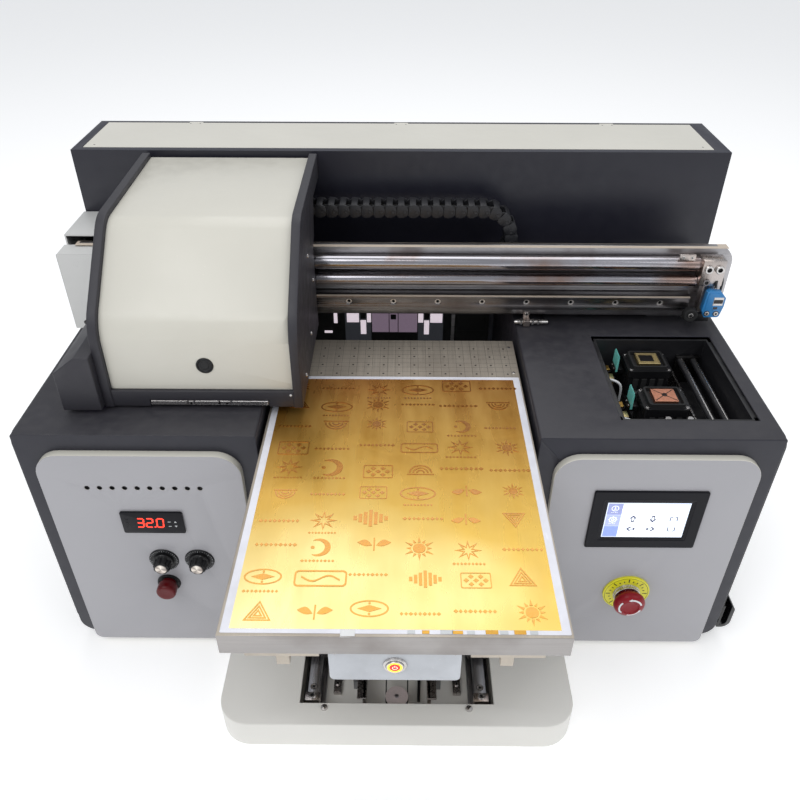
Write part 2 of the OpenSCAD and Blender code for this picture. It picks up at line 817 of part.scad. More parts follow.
// ---------- ink store in the rear housing ----------

module ink_bottles() color("gray")
    for (i = [0:5]) {
        x = -150 + i * 60;
        y = (house_y + back_y) / 2;
        block(x - 22, x + 22, y - 40, y + 40, top_z + sheet_t, top_z + 120);
        rod_z(top_z + 119, 22, x, y, 14);
    }

// ---------- carriage ----------

// side view of the carriage, inset by i from its outer skin
module carriage_side(i) {
    polygon([
        [car_y + i, car_z],
        [car_y + i, car_z + 30],
        [car_knee_y + i, car_knee_z - i / 2],
        [car_slope_y + i / 2, car_slope_z - i],
        [car_back_y, car_top - i],
        [car_back_y, car_flange_z],
        [plate_y + plate_t + 4, car_flange_z],
        [plate_y - 6, car_over_z + 12],
        [car_wall_y, car_over_z],
        [car_wall_y, car_z]]);
}

// band between two insets of the outer skin
module skin_band(i, t, z0) {
    difference() {
        carriage_side(i);
        polygon([
            [car_y + i + t, 0],
            [car_y + i + t, car_z + 30],
            [car_knee_y + i + t, car_knee_z - (i + t) / 2],
            [car_slope_y + (i + t) / 2, car_slope_z - i - t],
            [car_back_y + 1, car_top - i - t],
            [car_back_y + 1, 0]]);
        translate([0, 0]) square([car_back_y + 1, z0]);
    }
}

module carriage_shell() color("dimgray") {
    along_x(car_x0, lip_w) carriage_side(0);
    along_x(car_x1 - lip_w, lip_w) carriage_side(0);
    difference() {
        block(car_x0 + lip_w, car_x1 - lip_w, car_y + 2, car_y + 10, car_z, cover_z);
        block(edge_x0, edge_x1, car_y, car_y + 11, car_z - 1, car_z + 9);
    }
    block(car_x0 + lip_w, car_x1 - lip_w, mount_y - 7, mount_y, car_z + 10, plate_top);
    // arm that reaches down to the belt behind the plate
    block(car_x0 + lip_w, car_x1 - lip_w, car_back_y - 20, car_back_y - 12, car_flange_z, car_top - 12);
    block(car_x0 + 90, car_x0 + 120, belt_y - 1, car_back_y - 12, car_flange_z, car_flange_z + 6);
    block(car_x0 + 90, car_x0 + 120, belt_y - 1, belt_y + belt_w, belt_z + belt_r + belt_t + gap,
        car_flange_z + 6);
}

module carriage_cover() color("ivory") {
    px = (car_x0 + car_x1) / 2 + 7;
    pz = car_z + 54.6;
    difference() {
        along_x(car_x0 + lip_w, carriage_w - 2 * lip_w) skin_band(cover_in, car_skin, cover_z);
        rod_y(car_y, 20, px, pz, 9);
    }
}

module cover_plug() color("black") {
    px = (car_x0 + car_x1) / 2 + 7;
    pz = car_z + 54.6;
    slope = atan((car_knee_y - car_y) / (car_knee_z - car_z - 30));
    translate([px, car_y + cover_in + (pz - car_z - 30) * tan(slope), pz])
        rotate([90 - slope, 0, 0]) {
            cylinder(h = 1.6, r = 10);
            translate([0, 0, -car_skin - 2]) cylinder(h = car_skin + 3, r = 8.4);
        }
}

module lamp_housing() color("dimgray") difference() {
    along_y(car_y - 10, 192) polygon([
        [car_x0 - lamp_w, car_z + 2],
        [car_x0, car_z + 2],
        [car_x0, car_z + 74],
        [car_x0 - lamp_w + 28, car_z + 74],
        [car_x0 - lamp_w, car_z + 53]]);
    block(car_x0 - lamp_w + 3, car_x0 - 3, car_y - 7, car_y + 179, car_z + 1, car_z + 50);
}

module uv_lamp() color("slateblue") {
    block(car_x0 - lamp_w + 3, car_x0 - 3, car_y - 7, car_y + 179, car_z + 3, car_z + 40);
}

module head_block() color("silver") {
    block(car_x0 + lip_w, car_x1 - lip_w, car_y + 10, mount_y - 7, car_z, car_z + 4);
    block(edge_x0 + 1, edge_x1 - 1, car_y + 3, car_y + 12, car_z + 2, car_z + 8);
    for (y = [cap_ys[0] + 6, cap_ys[1] + 6])
        block(head_x - head_w / 2 + 8, head_x + head_w / 2 - 8, y, y + 34, car_z - 2.5, car_z + 60);
}

module slide_blocks() color("silver") {
    for (x = [car_x0 + 40, car_x1 - 100]) difference() {
        block(x, x + 60, mount_y, rail_y + rail_d - 2, rail_z - rail_h / 2 - 7, rail_z + rail_h / 2 + 7);
        block(x - 1, x + 61, rail_y - 0.5, rail_y + rail_d, rail_z - rail_h / 2 - 0.5,
            rail_z + rail_h / 2 + 0.5);
    }
}

// ---------- bed ----------

module saddle() color("gray") difference() {
    union() {
        block(-saddle_w / 2, saddle_w / 2, saddle_y0, saddle_y0 + saddle_l, saddle_z, saddle_z + saddle_t);
        // floor rail blocks
        for (x = [-rail_half, rail_half], y = [saddle_y0 + 10, saddle_y0 + saddle_l - 60])
            block(x - floor_block, x + floor_block, y, y + 50, saddle_z - 26, saddle_z);
        // lift housing: two walls and a top plate
        for (x = [-post_x - 20, post_x + 12])
            block(x, x + 8, saddle_y0, saddle_y0 + saddle_l, saddle_z + saddle_t, lift_top);
        block(-post_x - 20, post_x + 20, saddle_y0, saddle_y0 + saddle_l, lift_top - 8, lift_top);
        for (x = [-post_x, post_x], y = post_ys)
            rod_z(lift_top - 30, 30, x, y, post_r + 3);
        // belt clamp
        block(y_belt_r - 6, y_belt_r + 12, lift_y - 20, lift_y + 20, y_belt_z + belt_w + gap, saddle_z);
        // bearing of the screw
        rod_z(saddle_z + saddle_t - 1, 6, 0, lift_y, 14);
    }
    for (x = [-rail_half, rail_half])
        block(x - floor_rail_w / 2 - gap, x + floor_rail_w / 2 + gap, saddle_y0 - 1,
            saddle_y0 + saddle_l + 1, 0, saddle_z - 20 + gap);
    for (x = [-post_x, post_x], y = post_ys)
        rod_z(saddle_z + saddle_t + 20, house_h, x, y, post_r + fit);
    rod_z(lift_top - 20, 40, 0, lift_y, 17);
    rod_z(saddle_z + saddle_t - 3, 10, 0, lift_y, screw_r + fit);
}

module lift_screw() color("silver")
    rod_z(saddle_z + saddle_t - 3, bed_low - lift_travel - 20 - saddle_z - saddle_t, 0, lift_y, screw_r);

module bed_frame() color("silver") difference() {
    union() {
        // cross bars and ribs under the vacuum plate
        for (x = [-1, 1]) {
            block(min(x * 68, x * 135), max(x * 68, x * 135), bed_y0 + 6, bed_y1 - 12, frame_z, bed_low);
            block(min(x * 96, x * 108), max(x * 96, x * 108), bed_y0 + 10, bed_y1 - 12,
                frame_z - 18, frame_z);
        }
        block(-70, 70, lift_y - 40, lift_y + 40, frame_z, bed_low);
        for (x = [-post_x, post_x], y = post_ys)
            rod_z(post_low, frame_z + 1 - post_low, x, y, post_r);
        rod_z(lift_top + 5, frame_z + 1 - lift_top - 5, 0, lift_y, 14);
    }
    rod_z(lift_top, frame_z - lift_top, 0, lift_y, screw_r + fit + 0.03);
    rod_z(lift_top + 16, frame_z - lift_top - 16, 0, lift_y, 9);
}

module vacuum_plate() color("gray") difference() {
    block(-bed_w / 2, bed_w / 2, bed_y0, bed_y1, bed_low, bed_z);
    block(-bed_w / 2 + 8, bed_w / 2 - 8, bed_y0 + 8, bed_y1 - 8, bed_low + 4, bed_z - 4);
}

module sample_sheet() color("gold")
    along_z(bed_z, 0.6) rounded(-152, bed_y0 + 3, bed_w / 2 - 2, bed_y0 + 394, [1, 1, 1, 1]);

module power_box() color("lavender") difference() {
    block(-box_w / 2, box_w / 2, box_y, box_y + box_d, bed_low - box_h, bed_low);
    block(-box_w / 2 + 2, box_w / 2 - 2, box_y + 2, box_y + box_d - 2, bed_low - box_h + 2, bed_low - 2);
    rod_y(box_y - 1, 4, 0, bed_low - box_h / 2, 8 + fit);
}

module power_button() color("tomato") rod_y(box_y - 3.5, 14, 0, bed_low - box_h / 2, 8);

base_tray();
tower_left();
tower_right();
side_panels();
panel_left();
panel_right();
feet();
side_handles();
rear_housing();
back_panel();
power_inlet();
beam_plate();
beam_tube();
rods();
rail();
screws();
end_blocks();
end_cover();
limit_sensor();
proximity_sensor();
bumper();
drive_motors();
x_belt();
chain_tray();
y_rails();
y_belt();
screen_bezel();
screen_glass();
temp_controller();
dial_plates();
stop_plate();
cap_deck();
ink_bottles();
lid();
stop_head();
knob_left();
knob_right();
red_button();
x_pulley_drive();
x_pulley_idle();
y_pulley_front();
y_pulley_rear();
drag_chain();
carriage_shell();
carriage_cover();
cover_plug();
lamp_housing();
uv_lamp();
head_block();
slide_blocks();
saddle();
lift_screw();
bed_frame();
vacuum_plate();
sample_sheet();
power_box();
power_button();
cap_stations();
cap_inserts();
wipers();
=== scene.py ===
import bpy
import bmesh
import json
import math
import random
from mathutils import Matrix, Vector


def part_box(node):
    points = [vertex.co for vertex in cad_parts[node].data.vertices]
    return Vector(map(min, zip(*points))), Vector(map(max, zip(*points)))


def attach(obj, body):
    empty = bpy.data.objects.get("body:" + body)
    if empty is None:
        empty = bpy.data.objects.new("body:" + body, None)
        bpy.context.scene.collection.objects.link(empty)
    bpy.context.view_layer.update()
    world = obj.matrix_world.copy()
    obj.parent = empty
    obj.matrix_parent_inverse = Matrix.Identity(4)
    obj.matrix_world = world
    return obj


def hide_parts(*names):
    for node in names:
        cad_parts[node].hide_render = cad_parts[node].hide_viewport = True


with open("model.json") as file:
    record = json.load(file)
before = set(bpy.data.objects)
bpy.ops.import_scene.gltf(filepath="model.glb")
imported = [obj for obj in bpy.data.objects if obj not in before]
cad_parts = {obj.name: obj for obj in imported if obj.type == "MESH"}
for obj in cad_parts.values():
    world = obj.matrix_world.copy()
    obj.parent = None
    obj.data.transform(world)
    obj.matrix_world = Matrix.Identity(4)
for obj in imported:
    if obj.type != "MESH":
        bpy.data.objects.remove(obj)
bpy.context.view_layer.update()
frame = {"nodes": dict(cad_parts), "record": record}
scene = bpy.context.scene
nodes = frame["nodes"]
bodyOf = {n: b for b, members in frame["record"]["behaviour"]["bodies"].items() for n in members}
mm = 0.001
print("frame loaded,", len(nodes), "nodes")

studio = {
    "place": (6.7, -662.5, 904.9),  # camera, in millimetres
    "tilt": 53.64,  # degrees up from straight down
    "turn": 0.37,
    "roll": 0.14,
    "lens": 34.23,
    "worldColour": (0.93, 0.96, 1.0),
    "worldStrength": 0.52,
    "lamps": {
        "key": {"place": (-1.1, -1.5, 2.7), "size": 1.9, "power": 30},
        "fill": {"place": (1.9, -1.2, 1.9), "size": 1.6, "power": 10},
        "top": {"place": (0.1, 1.2, 2.9), "size": 2.2, "power": 24},
    },
    "floorColour": (0.97, 0.97, 0.97),
    "floorGlow": 0.3,
}


def makeStudio():
    s = studio
    cam = bpy.data.objects.new("camera", bpy.data.cameras.new("camera"))
    scene.collection.objects.link(cam)
    turn = Matrix.Rotation(math.radians(s["turn"]), 4, "Z")
    tilt = Matrix.Rotation(math.radians(s["tilt"]), 4, "X")
    roll = Matrix.Rotation(math.radians(s["roll"]), 4, "Z")
    cam.matrix_world = Matrix.Translation(Vector(s["place"]) * mm) @ turn @ tilt @ roll
    cam.data.lens = s["lens"]
    cam.data.sensor_width = 36
    cam.data.clip_start = 0.01
    scene.camera = cam
    world = bpy.data.worlds.new("studio")
    world.use_nodes = True
    back = world.node_tree.nodes["Background"]
    back.inputs[0].default_value = (*s["worldColour"], 1)
    back.inputs[1].default_value = s["worldStrength"]
    scene.world = world
    scene.view_settings.view_transform = "Standard"
    for name, lamp in s["lamps"].items():
        data = bpy.data.lights.new(name + "Lamp", "AREA")
        data.size = lamp["size"]
        data.energy = lamp["power"]
        obj = bpy.data.objects.new(name + "Lamp", data)
        scene.collection.objects.link(obj)
        obj.location = lamp["place"]
        obj.rotation_euler = (Vector((0, 0.1, 0.3)) - obj.location).to_track_quat("-Z", "Y").to_euler()
    mesh = bpy.data.meshes.new("floor")
    h = 12
    mesh.from_pydata([(-h, -h, 0), (h, -h, 0), (h, h, 0), (-h, h, 0)], [], [(0, 1, 2, 3)])
    floor = bpy.data.objects.new("floor", mesh)
    scene.collection.objects.link(floor)
    paper = bpy.data.materials.new("floorPaper")
    paper.use_nodes = True
    shader = paper.node_tree.nodes["Principled BSDF"]
    shader.inputs["Base Color"].default_value = (*s["floorColour"], 1)
    shader.inputs["Roughness"].default_value = 0.9
    shader.inputs["Emission Color"].default_value = (1, 1, 1, 1)
    shader.inputs["Emission Strength"].default_value = s["floorGlow"]
    mesh.materials.append(paper)


makeStudio()
print("camera, lamps and floor ready")


def srgb(r, g, b):
    return tuple((c / 255 / 12.92) if c / 255 <= 0.04045 else ((c / 255 + 0.055) / 1.055) ** 2.4
                 for c in (r, g, b))


def put(tree, kind, values=None, **props):
    node = tree.nodes.new(kind)
    for key, value in props.items():
        setattr(node, key, value)
    for key, value in (values or {}).items():
        node.inputs[key].default_value = value
    return node


def ramp(tree, source, stops):
    node = put(tree, "ShaderNodeValToRGB")
    tree.links.new(source, node.inputs["Fac"])
    marks = node.color_ramp.elements
    while len(marks) < len(stops):
        marks.new(0.5)
    for mark, (at, colour) in zip(marks, stops):
        mark.position = at
        mark.color = (*colour, 1) if len(colour) == 3 else colour
    return node.outputs["Color"]


def span(tree, source, low, high, fromLow=0.3, fromHigh=0.7):
    node = put(tree, "ShaderNodeMapRange", {"From Min": fromLow, "From Max": fromHigh, "To Min": low,
        "To Max": high})
    tree.links.new(source, node.inputs["Value"])
    return node.outputs["Result"]


def math2(tree, kind, a, b):
    node = put(tree, "ShaderNodeMath", operation=kind)
    for k, value in enumerate((a, b)):
        if isinstance(value, (int, float)):
            node.inputs[k].default_value = value
        else:
            tree.links.new(value, node.inputs[k])
    return node.outputs[0]


def mixColour(tree, factor, a, b, blend="MIX"):
    node = put(tree, "ShaderNodeMix", data_type="RGBA", blend_type=blend)
    for k, value in ((0, factor), (6, a), (7, b)):
        if isinstance(value, (int, float)):
            node.inputs[k].default_value = value
        elif isinstance(value, tuple):
            node.inputs[k].default_value = (*value, 1)
        else:
            tree.links.new(value, node.inputs[k])
    return node.outputs[2]


def startMaterial(name):
    mat = bpy.data.materials.new(name)
    mat.use_nodes = True
    tree = mat.node_tree
    shader = tree.nodes["Principled BSDF"]
    coord = put(tree, "ShaderNodeTexCoord").outputs["Object"]
    return mat, tree, shader, coord


def stretched(tree, coord, scale, turn=(0, 0, 0)):
    node = put(tree, "ShaderNodeMapping", {"Scale": scale, "Rotation": turn})
    tree.links.new(coord, node.inputs["Vector"])
    return node.outputs["Vector"]


def noiseOf(tree, coord, scale, detail=3, roughness=0.55):
    node = put(tree, "ShaderNodeTexNoise", {"Scale": scale, "Detail": detail, "Roughness": roughness})
    tree.links.new(coord, node.inputs["Vector"])
    return node.outputs["Fac"]


def roundNormal(tree, edge):
    return put(tree, "ShaderNodeBevel", {"Radius": edge}, samples=4).outputs["Normal"]


def bumped(tree, height, distance, strength=1.0, normal=None):
    node = put(tree, "ShaderNodeBump", {"Distance": distance, "Strength": strength})
    tree.links.new(height, node.inputs["Height"])
    if normal is not None:
        tree.links.new(normal, node.inputs["Normal"])
    return node.outputs["Normal"]


# painted sheet metal: fine grain, uneven gloss, dust that settles on upper faces
def paint(name, colour, rough=0.42, grain=1500, depth=0.00006, mottle=0.06, edge=0.0008, dust=0.05,
        coat=0.0, worn=None):
    mat, tree, shader, coord = startMaterial(name)
    big = noiseOf(tree, coord, 7, 4)
    mid = noiseOf(tree, coord, 60, 3)
    fine = noiseOf(tree, coord, grain, 2)
    low = tuple(max(0, c * (1 - mottle)) for c in colour)
    high = tuple(min(1, c * (1 + mottle)) for c in colour)
    base = ramp(tree, big, [(0.3, low), (0.7, high)])
    up = put(tree, "ShaderNodeSeparateXYZ")
    tree.links.new(put(tree, "ShaderNodeNewGeometry").outputs["Normal"], up.inputs[0])
    settled = math2(tree, "MULTIPLY", span(tree, up.outputs["Z"], 0, dust, 0.5, 1.0),
        span(tree, mid, 0.2, 1.0, 0.4, 0.7))
    base = mixColour(tree, settled, base, (0.62, 0.6, 0.57))
    specks = span(tree, noiseOf(tree, coord, 420, 1), 0, 0.3, 0.76, 0.82)
    base = mixColour(tree, specks, base, tuple(min(1, c * 1.35 + 0.01) for c in colour))
    rounded = roundNormal(tree, edge)
    if worn:
        flat = put(tree, "ShaderNodeNewGeometry").outputs["Normal"]
        dot = put(tree, "ShaderNodeVectorMath", operation="DOT_PRODUCT")
        tree.links.new(rounded, dot.inputs[0])
        tree.links.new(flat, dot.inputs[1])
        rub = math2(tree, "MULTIPLY", span(tree, dot.outputs["Value"], 0.8, 0, 0.8, 0.97),
            span(tree, mid, 0, 1, 0.45, 0.62))
        base = mixColour(tree, rub, base, worn)
    tree.links.new(base, shader.inputs["Base Color"])
    tree.links.new(span(tree, mid, rough - 0.06, rough + 0.08), shader.inputs["Roughness"])
    shader.inputs["Coat Weight"].default_value = coat
    shader.inputs["Coat Roughness"].default_value = 0.15
    shader.inputs["Specular IOR Level"].default_value = 0.45
    waves = bumped(tree, big, 0.0003, 0.15, rounded)
    tree.links.new(bumped(tree, fine, depth, 0.8, waves), shader.inputs["Normal"])
    return mat


# bare metal with streaks along one axis: small scale along it, large across
def metal(name, colour, rough=0.3, along="X", streak=0.2, fineness=900, edge=0.0005, stainAndReflection=None,
        depth=0.00002, metallic=1.0):
    mat, tree, shader, coord = startMaterial(name)
    scale = {"X": (0.012, 1, 1), "Y": (1, 0.012, 1), "Z": (1, 1, 0.012), "none": (1, 1, 1)}[along]
    lines = noiseOf(tree, stretched(tree, coord, scale), fineness, 3, 0.65)
    broad = noiseOf(tree, stretched(tree, coord, tuple(max(v, 0.1) for v in scale)), 45, 3)
    cloud = noiseOf(tree, coord, 11, 4)
    low = tuple(c * (1 - streak) for c in colour)
    high = tuple(min(1, c * (1 + streak)) for c in colour)
    base = ramp(tree, lines, [(0.3, low), (0.7, high)])
    base = mixColour(tree, span(tree, broad, 0, 0.5), base, low)
    # clouds of a second colour: stains, and on the rods a painted reflection of the gold sheet
    if stainAndReflection:
        base = mixColour(tree, span(tree, cloud, 0, 0.7, 0.48, 0.66), base, stainAndReflection)
    tree.links.new(base, shader.inputs["Base Color"])
    tree.links.new(math2(tree, "ADD", span(tree, lines, rough - 0.08, rough + 0.1),
        span(tree, cloud, -0.04, 0.06)), shader.inputs["Roughness"])
    shader.inputs["Metallic"].default_value = metallic
    tree.links.new(bumped(tree, lines, depth, 0.7, roundNormal(tree, edge)), shader.inputs["Normal"])
    return mat


# moulded plastic and rubber
def plastic(name, colour, rough=0.35, grain=700, depth=0.00004, edge=0.0005, coat=0.0, clear=0.0,
        subsurface=0.0):
    mat, tree, shader, coord = startMaterial(name)
    big = noiseOf(tree, coord, 30, 3)
    fine = noiseOf(tree, coord, grain, 2)
    base = ramp(tree, big, [(0.3, tuple(c * 0.9 for c in colour)),
        (0.7, tuple(min(1, c * 1.08) for c in colour))])
    scuff = span(tree, noiseOf(tree, stretched(tree, coord, (1, 0.15, 1), (0.3, 0.5, 0.8)), 260, 2), 0,
        0.25, 0.66, 0.75)
    base = mixColour(tree, scuff, base, tuple(min(1, c * 1.3 + 0.02) for c in colour))
    tree.links.new(base, shader.inputs["Base Color"])
    tree.links.new(span(tree, big, rough - 0.05, rough + 0.08), shader.inputs["Roughness"])
    shader.inputs["Coat Weight"].default_value = coat
    shader.inputs["Transmission Weight"].default_value = clear
    shader.inputs["Subsurface Weight"].default_value = subsurface
    shader.inputs["Subsurface Scale"].default_value = 0.002
    tree.links.new(bumped(tree, fine, depth, 0.6, roundNormal(tree, edge)), shader.inputs["Normal"])
    return mat


def glowing(name, colour, strength, mottle=0.15, scale=800):
    mat, tree, shader, coord = startMaterial(name)
    grain = noiseOf(tree, coord, scale, 2)
    glow = ramp(tree, grain, [(0.3, tuple(c * (1 - mottle) for c in colour)), (0.7, colour)])
    tree.links.new(glow, shader.inputs["Base Color"])
    tree.links.new(glow, shader.inputs["Emission Color"])
    shader.inputs["Emission Strength"].default_value = strength
    shader.inputs["Roughness"].default_value = 0.3
    return mat


paints = {
    "charcoal": paint("charcoalPaint", srgb(49, 48, 54), 0.5, mottle=0.03, edge=0.0012, dust=0.025,
    worn=srgb(150, 150, 150)),
    "frontNavy": paint("navyPaint", srgb(34, 34, 44), 0.36, edge=0.001, dust=0.02),
    "housing": paint("housingPaint", srgb(38, 39, 52), 0.42, mottle=0.03, edge=0.001, dust=0.02,
    worn=srgb(140, 140, 145)),
    "cream": paint("creamPaint", srgb(214, 211, 200), 0.34, 1100, 0.00008, 0.025, 0.0012, 0.03, 0.12),
    "lidCream": paint("lidPaint", srgb(214, 211, 201), 0.36, 1100, 0.00008, 0.03, 0.001, 0.03, 0.1),
    "panelGrey": paint("panelPaint", srgb(166, 165, 169), 0.34, 1300, 0.00005, 0.012, 0.0012, 0.01, 0.08),
    "tray": paint("trayPaint", srgb(229, 227, 221), 0.34, 1200, 0.00008, 0.02, 0.0014, 0.03, 0.1),
    "black": paint("blackPaint", srgb(24, 24, 27), 0.4, edge=0.0006, dust=0.03),
    "coverGrey": paint("coverPaint", srgb(207, 207, 205), 0.36, edge=0.0012),
}
metals = {
    "plate": metal("plateAluminium", srgb(176, 174, 176), 0.3, "X", 0.1, 700, stainAndReflection=srgb(120, 112, 112)),
    "tube": metal("tubeAluminium", srgb(150, 150, 152), 0.38, "X", 0.1),
    "block": metal("blockAluminium", srgb(186, 180, 178), 0.26, "Z", 0.1, 600, stainAndReflection=srgb(205, 190, 180)),
    # the rods' copper-brown clouds are painted reflection of the gold sheet, not a stain
    "rod": metal("rodChrome", srgb(182, 180, 186), 0.17, "X", 0.28, 420, stainAndReflection=srgb(146, 112, 92)),
    "rail": metal("railSteel", srgb(140, 138, 140), 0.28, "X", 0.16, 800, stainAndReflection=srgb(96, 88, 86)),
    "screw": metal("screwSteel", srgb(205, 202, 200), 0.24, "none", 0.12, 500, 0.0003),
    "brightScrew": metal("brightScrewSteel", srgb(236, 232, 228), 0.3, "none", 0.1, 500, 0.0003,
    metallic=0.6),
    # painted highlight for the lit top edges of the beam plate and the rail
    "paintedHighlightEdge": metal("paintedHighlightEdge", srgb(214, 200, 184), 0.5, "X", 0.08, 500, metallic=0.35),
    "darkScrew": metal("darkScrewSteel", srgb(70, 68, 68), 0.34, "none", 0.15, 500, 0.0003),
    "bed": metal("bedAluminium", srgb(196, 186, 172), 0.46, "Y", 0.09, 600, stainAndReflection=srgb(164, 154, 142),
    metallic=0.55),
    "bedEdge": metal("bedEdgeAluminium", srgb(168, 164, 162), 0.34, "X", 0.14, 500,
    stainAndReflection=srgb(140, 134, 130)),
    "brass": metal("brass", srgb(206, 168, 92), 0.28, "none", 0.12),
    "pulley": metal("pulleyAluminium", srgb(206, 192, 190), 0.4, "Z", 0.12, metallic=0.45),
    "steel": metal("groundSteel", srgb(150, 150, 154), 0.3, "Y", 0.14),
    "copper": metal("copperMesh", srgb(226, 160, 132), 0.35, "none", 0.14),
    "gilt": metal("giltMesh", srgb(196, 178, 130), 0.35, "none", 0.18),
}
plastics = {
    "black": plastic("blackPlastic", srgb(22, 22, 24), 0.36),
    "gloss": plastic("glossPlastic", srgb(16, 16, 19), 0.12, coat=0.4, depth=0.00001),
    "panel": plastic("panelPlastic", srgb(15, 15, 22), 0.34, depth=0.00002),
    "chain": plastic("chainNylon", srgb(34, 34, 38), 0.44),
    "rubber": plastic("rubber", srgb(26, 26, 27), 0.72, 500, 0.0001),
    "blue": plastic("sensorBlue", srgb(52, 134, 198), 0.34, coat=0.2),
    "yellow": plastic("stopYellow", srgb(228, 222, 40), 0.32, coat=0.2),
    "red": plastic("stopRed", srgb(140, 10, 26), 0.3, coat=0.1),
    "darkRed": plastic("buttonRed", srgb(92, 16, 20), 0.28, coat=0.15, depth=0.00002),
    "white": plastic("whitePlastic", srgb(226, 228, 230), 0.34),
    "teal": plastic("wiperTeal", srgb(120, 206, 196), 0.3, subsurface=0.1),
    "boxWhite": plastic("boxWhite", srgb(192, 195, 200), 0.34),
    "hose": plastic("hoseBlack", srgb(28, 28, 30), 0.3, coat=0.3),
    "label": plastic("labelWhite", srgb(225, 225, 225), 0.5),
    "tick": plastic("tickWhite", srgb(205, 208, 210), 0.5),
}
for name, level in {"panel": 0.18, "red": 0.25, "darkRed": 0.22, "black": 0.35, "gloss": 0.4}.items():
    for node in plastics[name].node_tree.nodes:
        if node.type == "BSDF_PRINCIPLED":
            node.inputs["Specular IOR Level"].default_value = level
print("materials ready")


# mesh helpers, all in millimetres; a material index goes with every part
def box(bm, x0, x1, y0, y1, z0, z1, mat=0, bevel=0.0, seg=2):
    made = bmesh.ops.create_cube(bm, size=1)["verts"]
    for v in made:
        v.co = Vector((x0 + (v.co.x + 0.5) * (x1 - x0), y0 + (v.co.y + 0.5) * (y1 - y0),
            z0 + (v.co.z + 0.5) * (z1 - z0)))
    faces = {f for v in made for f in v.link_faces}
    for f in faces:
        f.material_index = mat
    if bevel:
        edges = list({e for f in faces for e in f.edges})
        new = bmesh.ops.bevel(bm, geom=edges, offset=bevel, segments=seg, profile=0.5, affect="EDGES",
            clamp_overlap=True)
        for f in new["faces"]:
            f.material_index = mat
    return made


def frameOf(axis):
    w = Vector(axis).normalized()
    side = Vector((0, 0, 1)) if abs(w.z) < 0.9 else Vector((1, 0, 0))
    u = side.cross(w).normalized()
    return u, w.cross(u), w


# outline of (radius, distance) pairs spun round an axis; materials is one index or one per step
def lathe(bm, origin, axis, profile, segs=32, mat=0, start=0.0, closed=True):
    u, v, w = frameOf(axis)
    o = Vector(origin)
    rings = []
    for r, h in profile:
        if r <= 1e-6:
            rings.append([bm.verts.new(o + w * h)])
        else:
            rings.append([bm.verts.new(o + w * h + (u * math.cos(start + t) + v * math.sin(start + t)) * r)
                          for t in (2 * math.pi * i / segs for i in range(segs))])
    for k in range(len(rings) - 1):
        a, b = rings[k], rings[k + 1]
        m = mat[k] if isinstance(mat, (list, tuple)) else mat
        for i in range(segs):
            j = (i + 1) % segs
            if len(a) == 1 and len(b) == 1:
                continue
            if len(a) == 1:
                f = bm.faces.new((a[0], b[i], b[j]))
            elif len(b) == 1:
                f = bm.faces.new((a[i], a[j], b[0]))
            else:
                f = bm.faces.new((a[i], a[j], b[j], b[i]))
            f.material_index = m
    if closed:
        for ring in (rings[0], rings[-1]):
            if len(ring) > 1:
                f = bm.faces.new(ring)
                f.material_index = mat[0 if ring is rings[0] else -1] if isinstance(mat,
                    (list, tuple)) else mat


# the same without end caps, for profiles that close on themselves or sit on a face
def spun(bm, origin, axis, profile, segs, mat, start=0.0):
    lathe(bm, origin, axis, profile, segs, mat, start, False)


def rod(bm, a, b, r, segs=24, mat=0, chamfer=0.0):
    d = Vector(b) - Vector(a)
    n = d.length
    c = min(chamfer, r * 0.9, n * 0.45)
    profile = [(r - c, 0), (r, c), (r, n - c), (r - c, n)] if c else [(r, 0), (r, n)]
    lathe(bm, a, d, profile, segs, mat)


def tubeAlong(bm, points, r, segs=12, mat=0):
    pts = [Vector(p) for p in points]
    rings = []
    u = None
    for k, p in enumerate(pts):
        d = (pts[min(k + 1, len(pts) - 1)] - pts[max(k - 1, 0)]).normalized()
        if u is None:
            u = frameOf(d)[0]
        u = (u - d * u.dot(d)).normalized()
        v = d.cross(u)
        rings.append([bm.verts.new(p + (u * math.cos(t) + v * math.sin(t)) * r)
                      for t in (2 * math.pi * i / segs for i in range(segs))])
    for a, b in zip(rings, rings[1:]):
        for i in range(segs):
            bm.faces.new((a[i], a[(i + 1) % segs], b[(i + 1) % segs], b[i])).material_index = mat
    for ring in (rings[0], rings[-1]):
        bm.faces.new(ring).material_index = mat


def curved(points, steps=8):
    out = []
    pts = [Vector(p) for p in points]
    for k in range(len(pts) - 1):
        p0, p1, p2, p3 = pts[max(k - 1, 0)], pts[k], pts[k + 1], pts[min(k + 2, len(pts) - 1)]
        for i in range(steps):
            t = i / steps
            out.append(0.5 * ((2 * p1) + (p2 - p0) * t + (2 * p0 - 5 * p1 + 4 * p2 - p3) * t * t
                              + (3 * p1 - p0 - 3 * p2 + p3) * t ** 3))
    out.append(pts[-1])
    return out


# flat outline pulled along an axis between two places; outline is drawn in the other two axes
def prism(bm, axis, outline, a, b, mat=0, bevel=0.0, seg=2):
    def at(p, q, t):
        return {"X": (t, p, q), "Y": (p, t, q), "Z": (p, q, t)}[axis]
    low = [bm.verts.new(at(p, q, a)) for p, q in outline]
    high = [bm.verts.new(at(p, q, b)) for p, q in outline]
    faces = [bm.faces.new(low), bm.faces.new(high)]
    n = len(outline)
    for i in range(n):
        faces.append(bm.faces.new((low[i], low[(i + 1) % n], high[(i + 1) % n], high[i])))
    for f in faces:
        f.material_index = mat
    if bevel:
        rims = list({e for f in faces[:2] for e in f.edges})
        for f in bmesh.ops.bevel(bm, geom=rims, offset=bevel, segments=seg, profile=0.5, affect="EDGES",
                clamp_overlap=True)["faces"]:
            f.material_index = mat
    return low + high


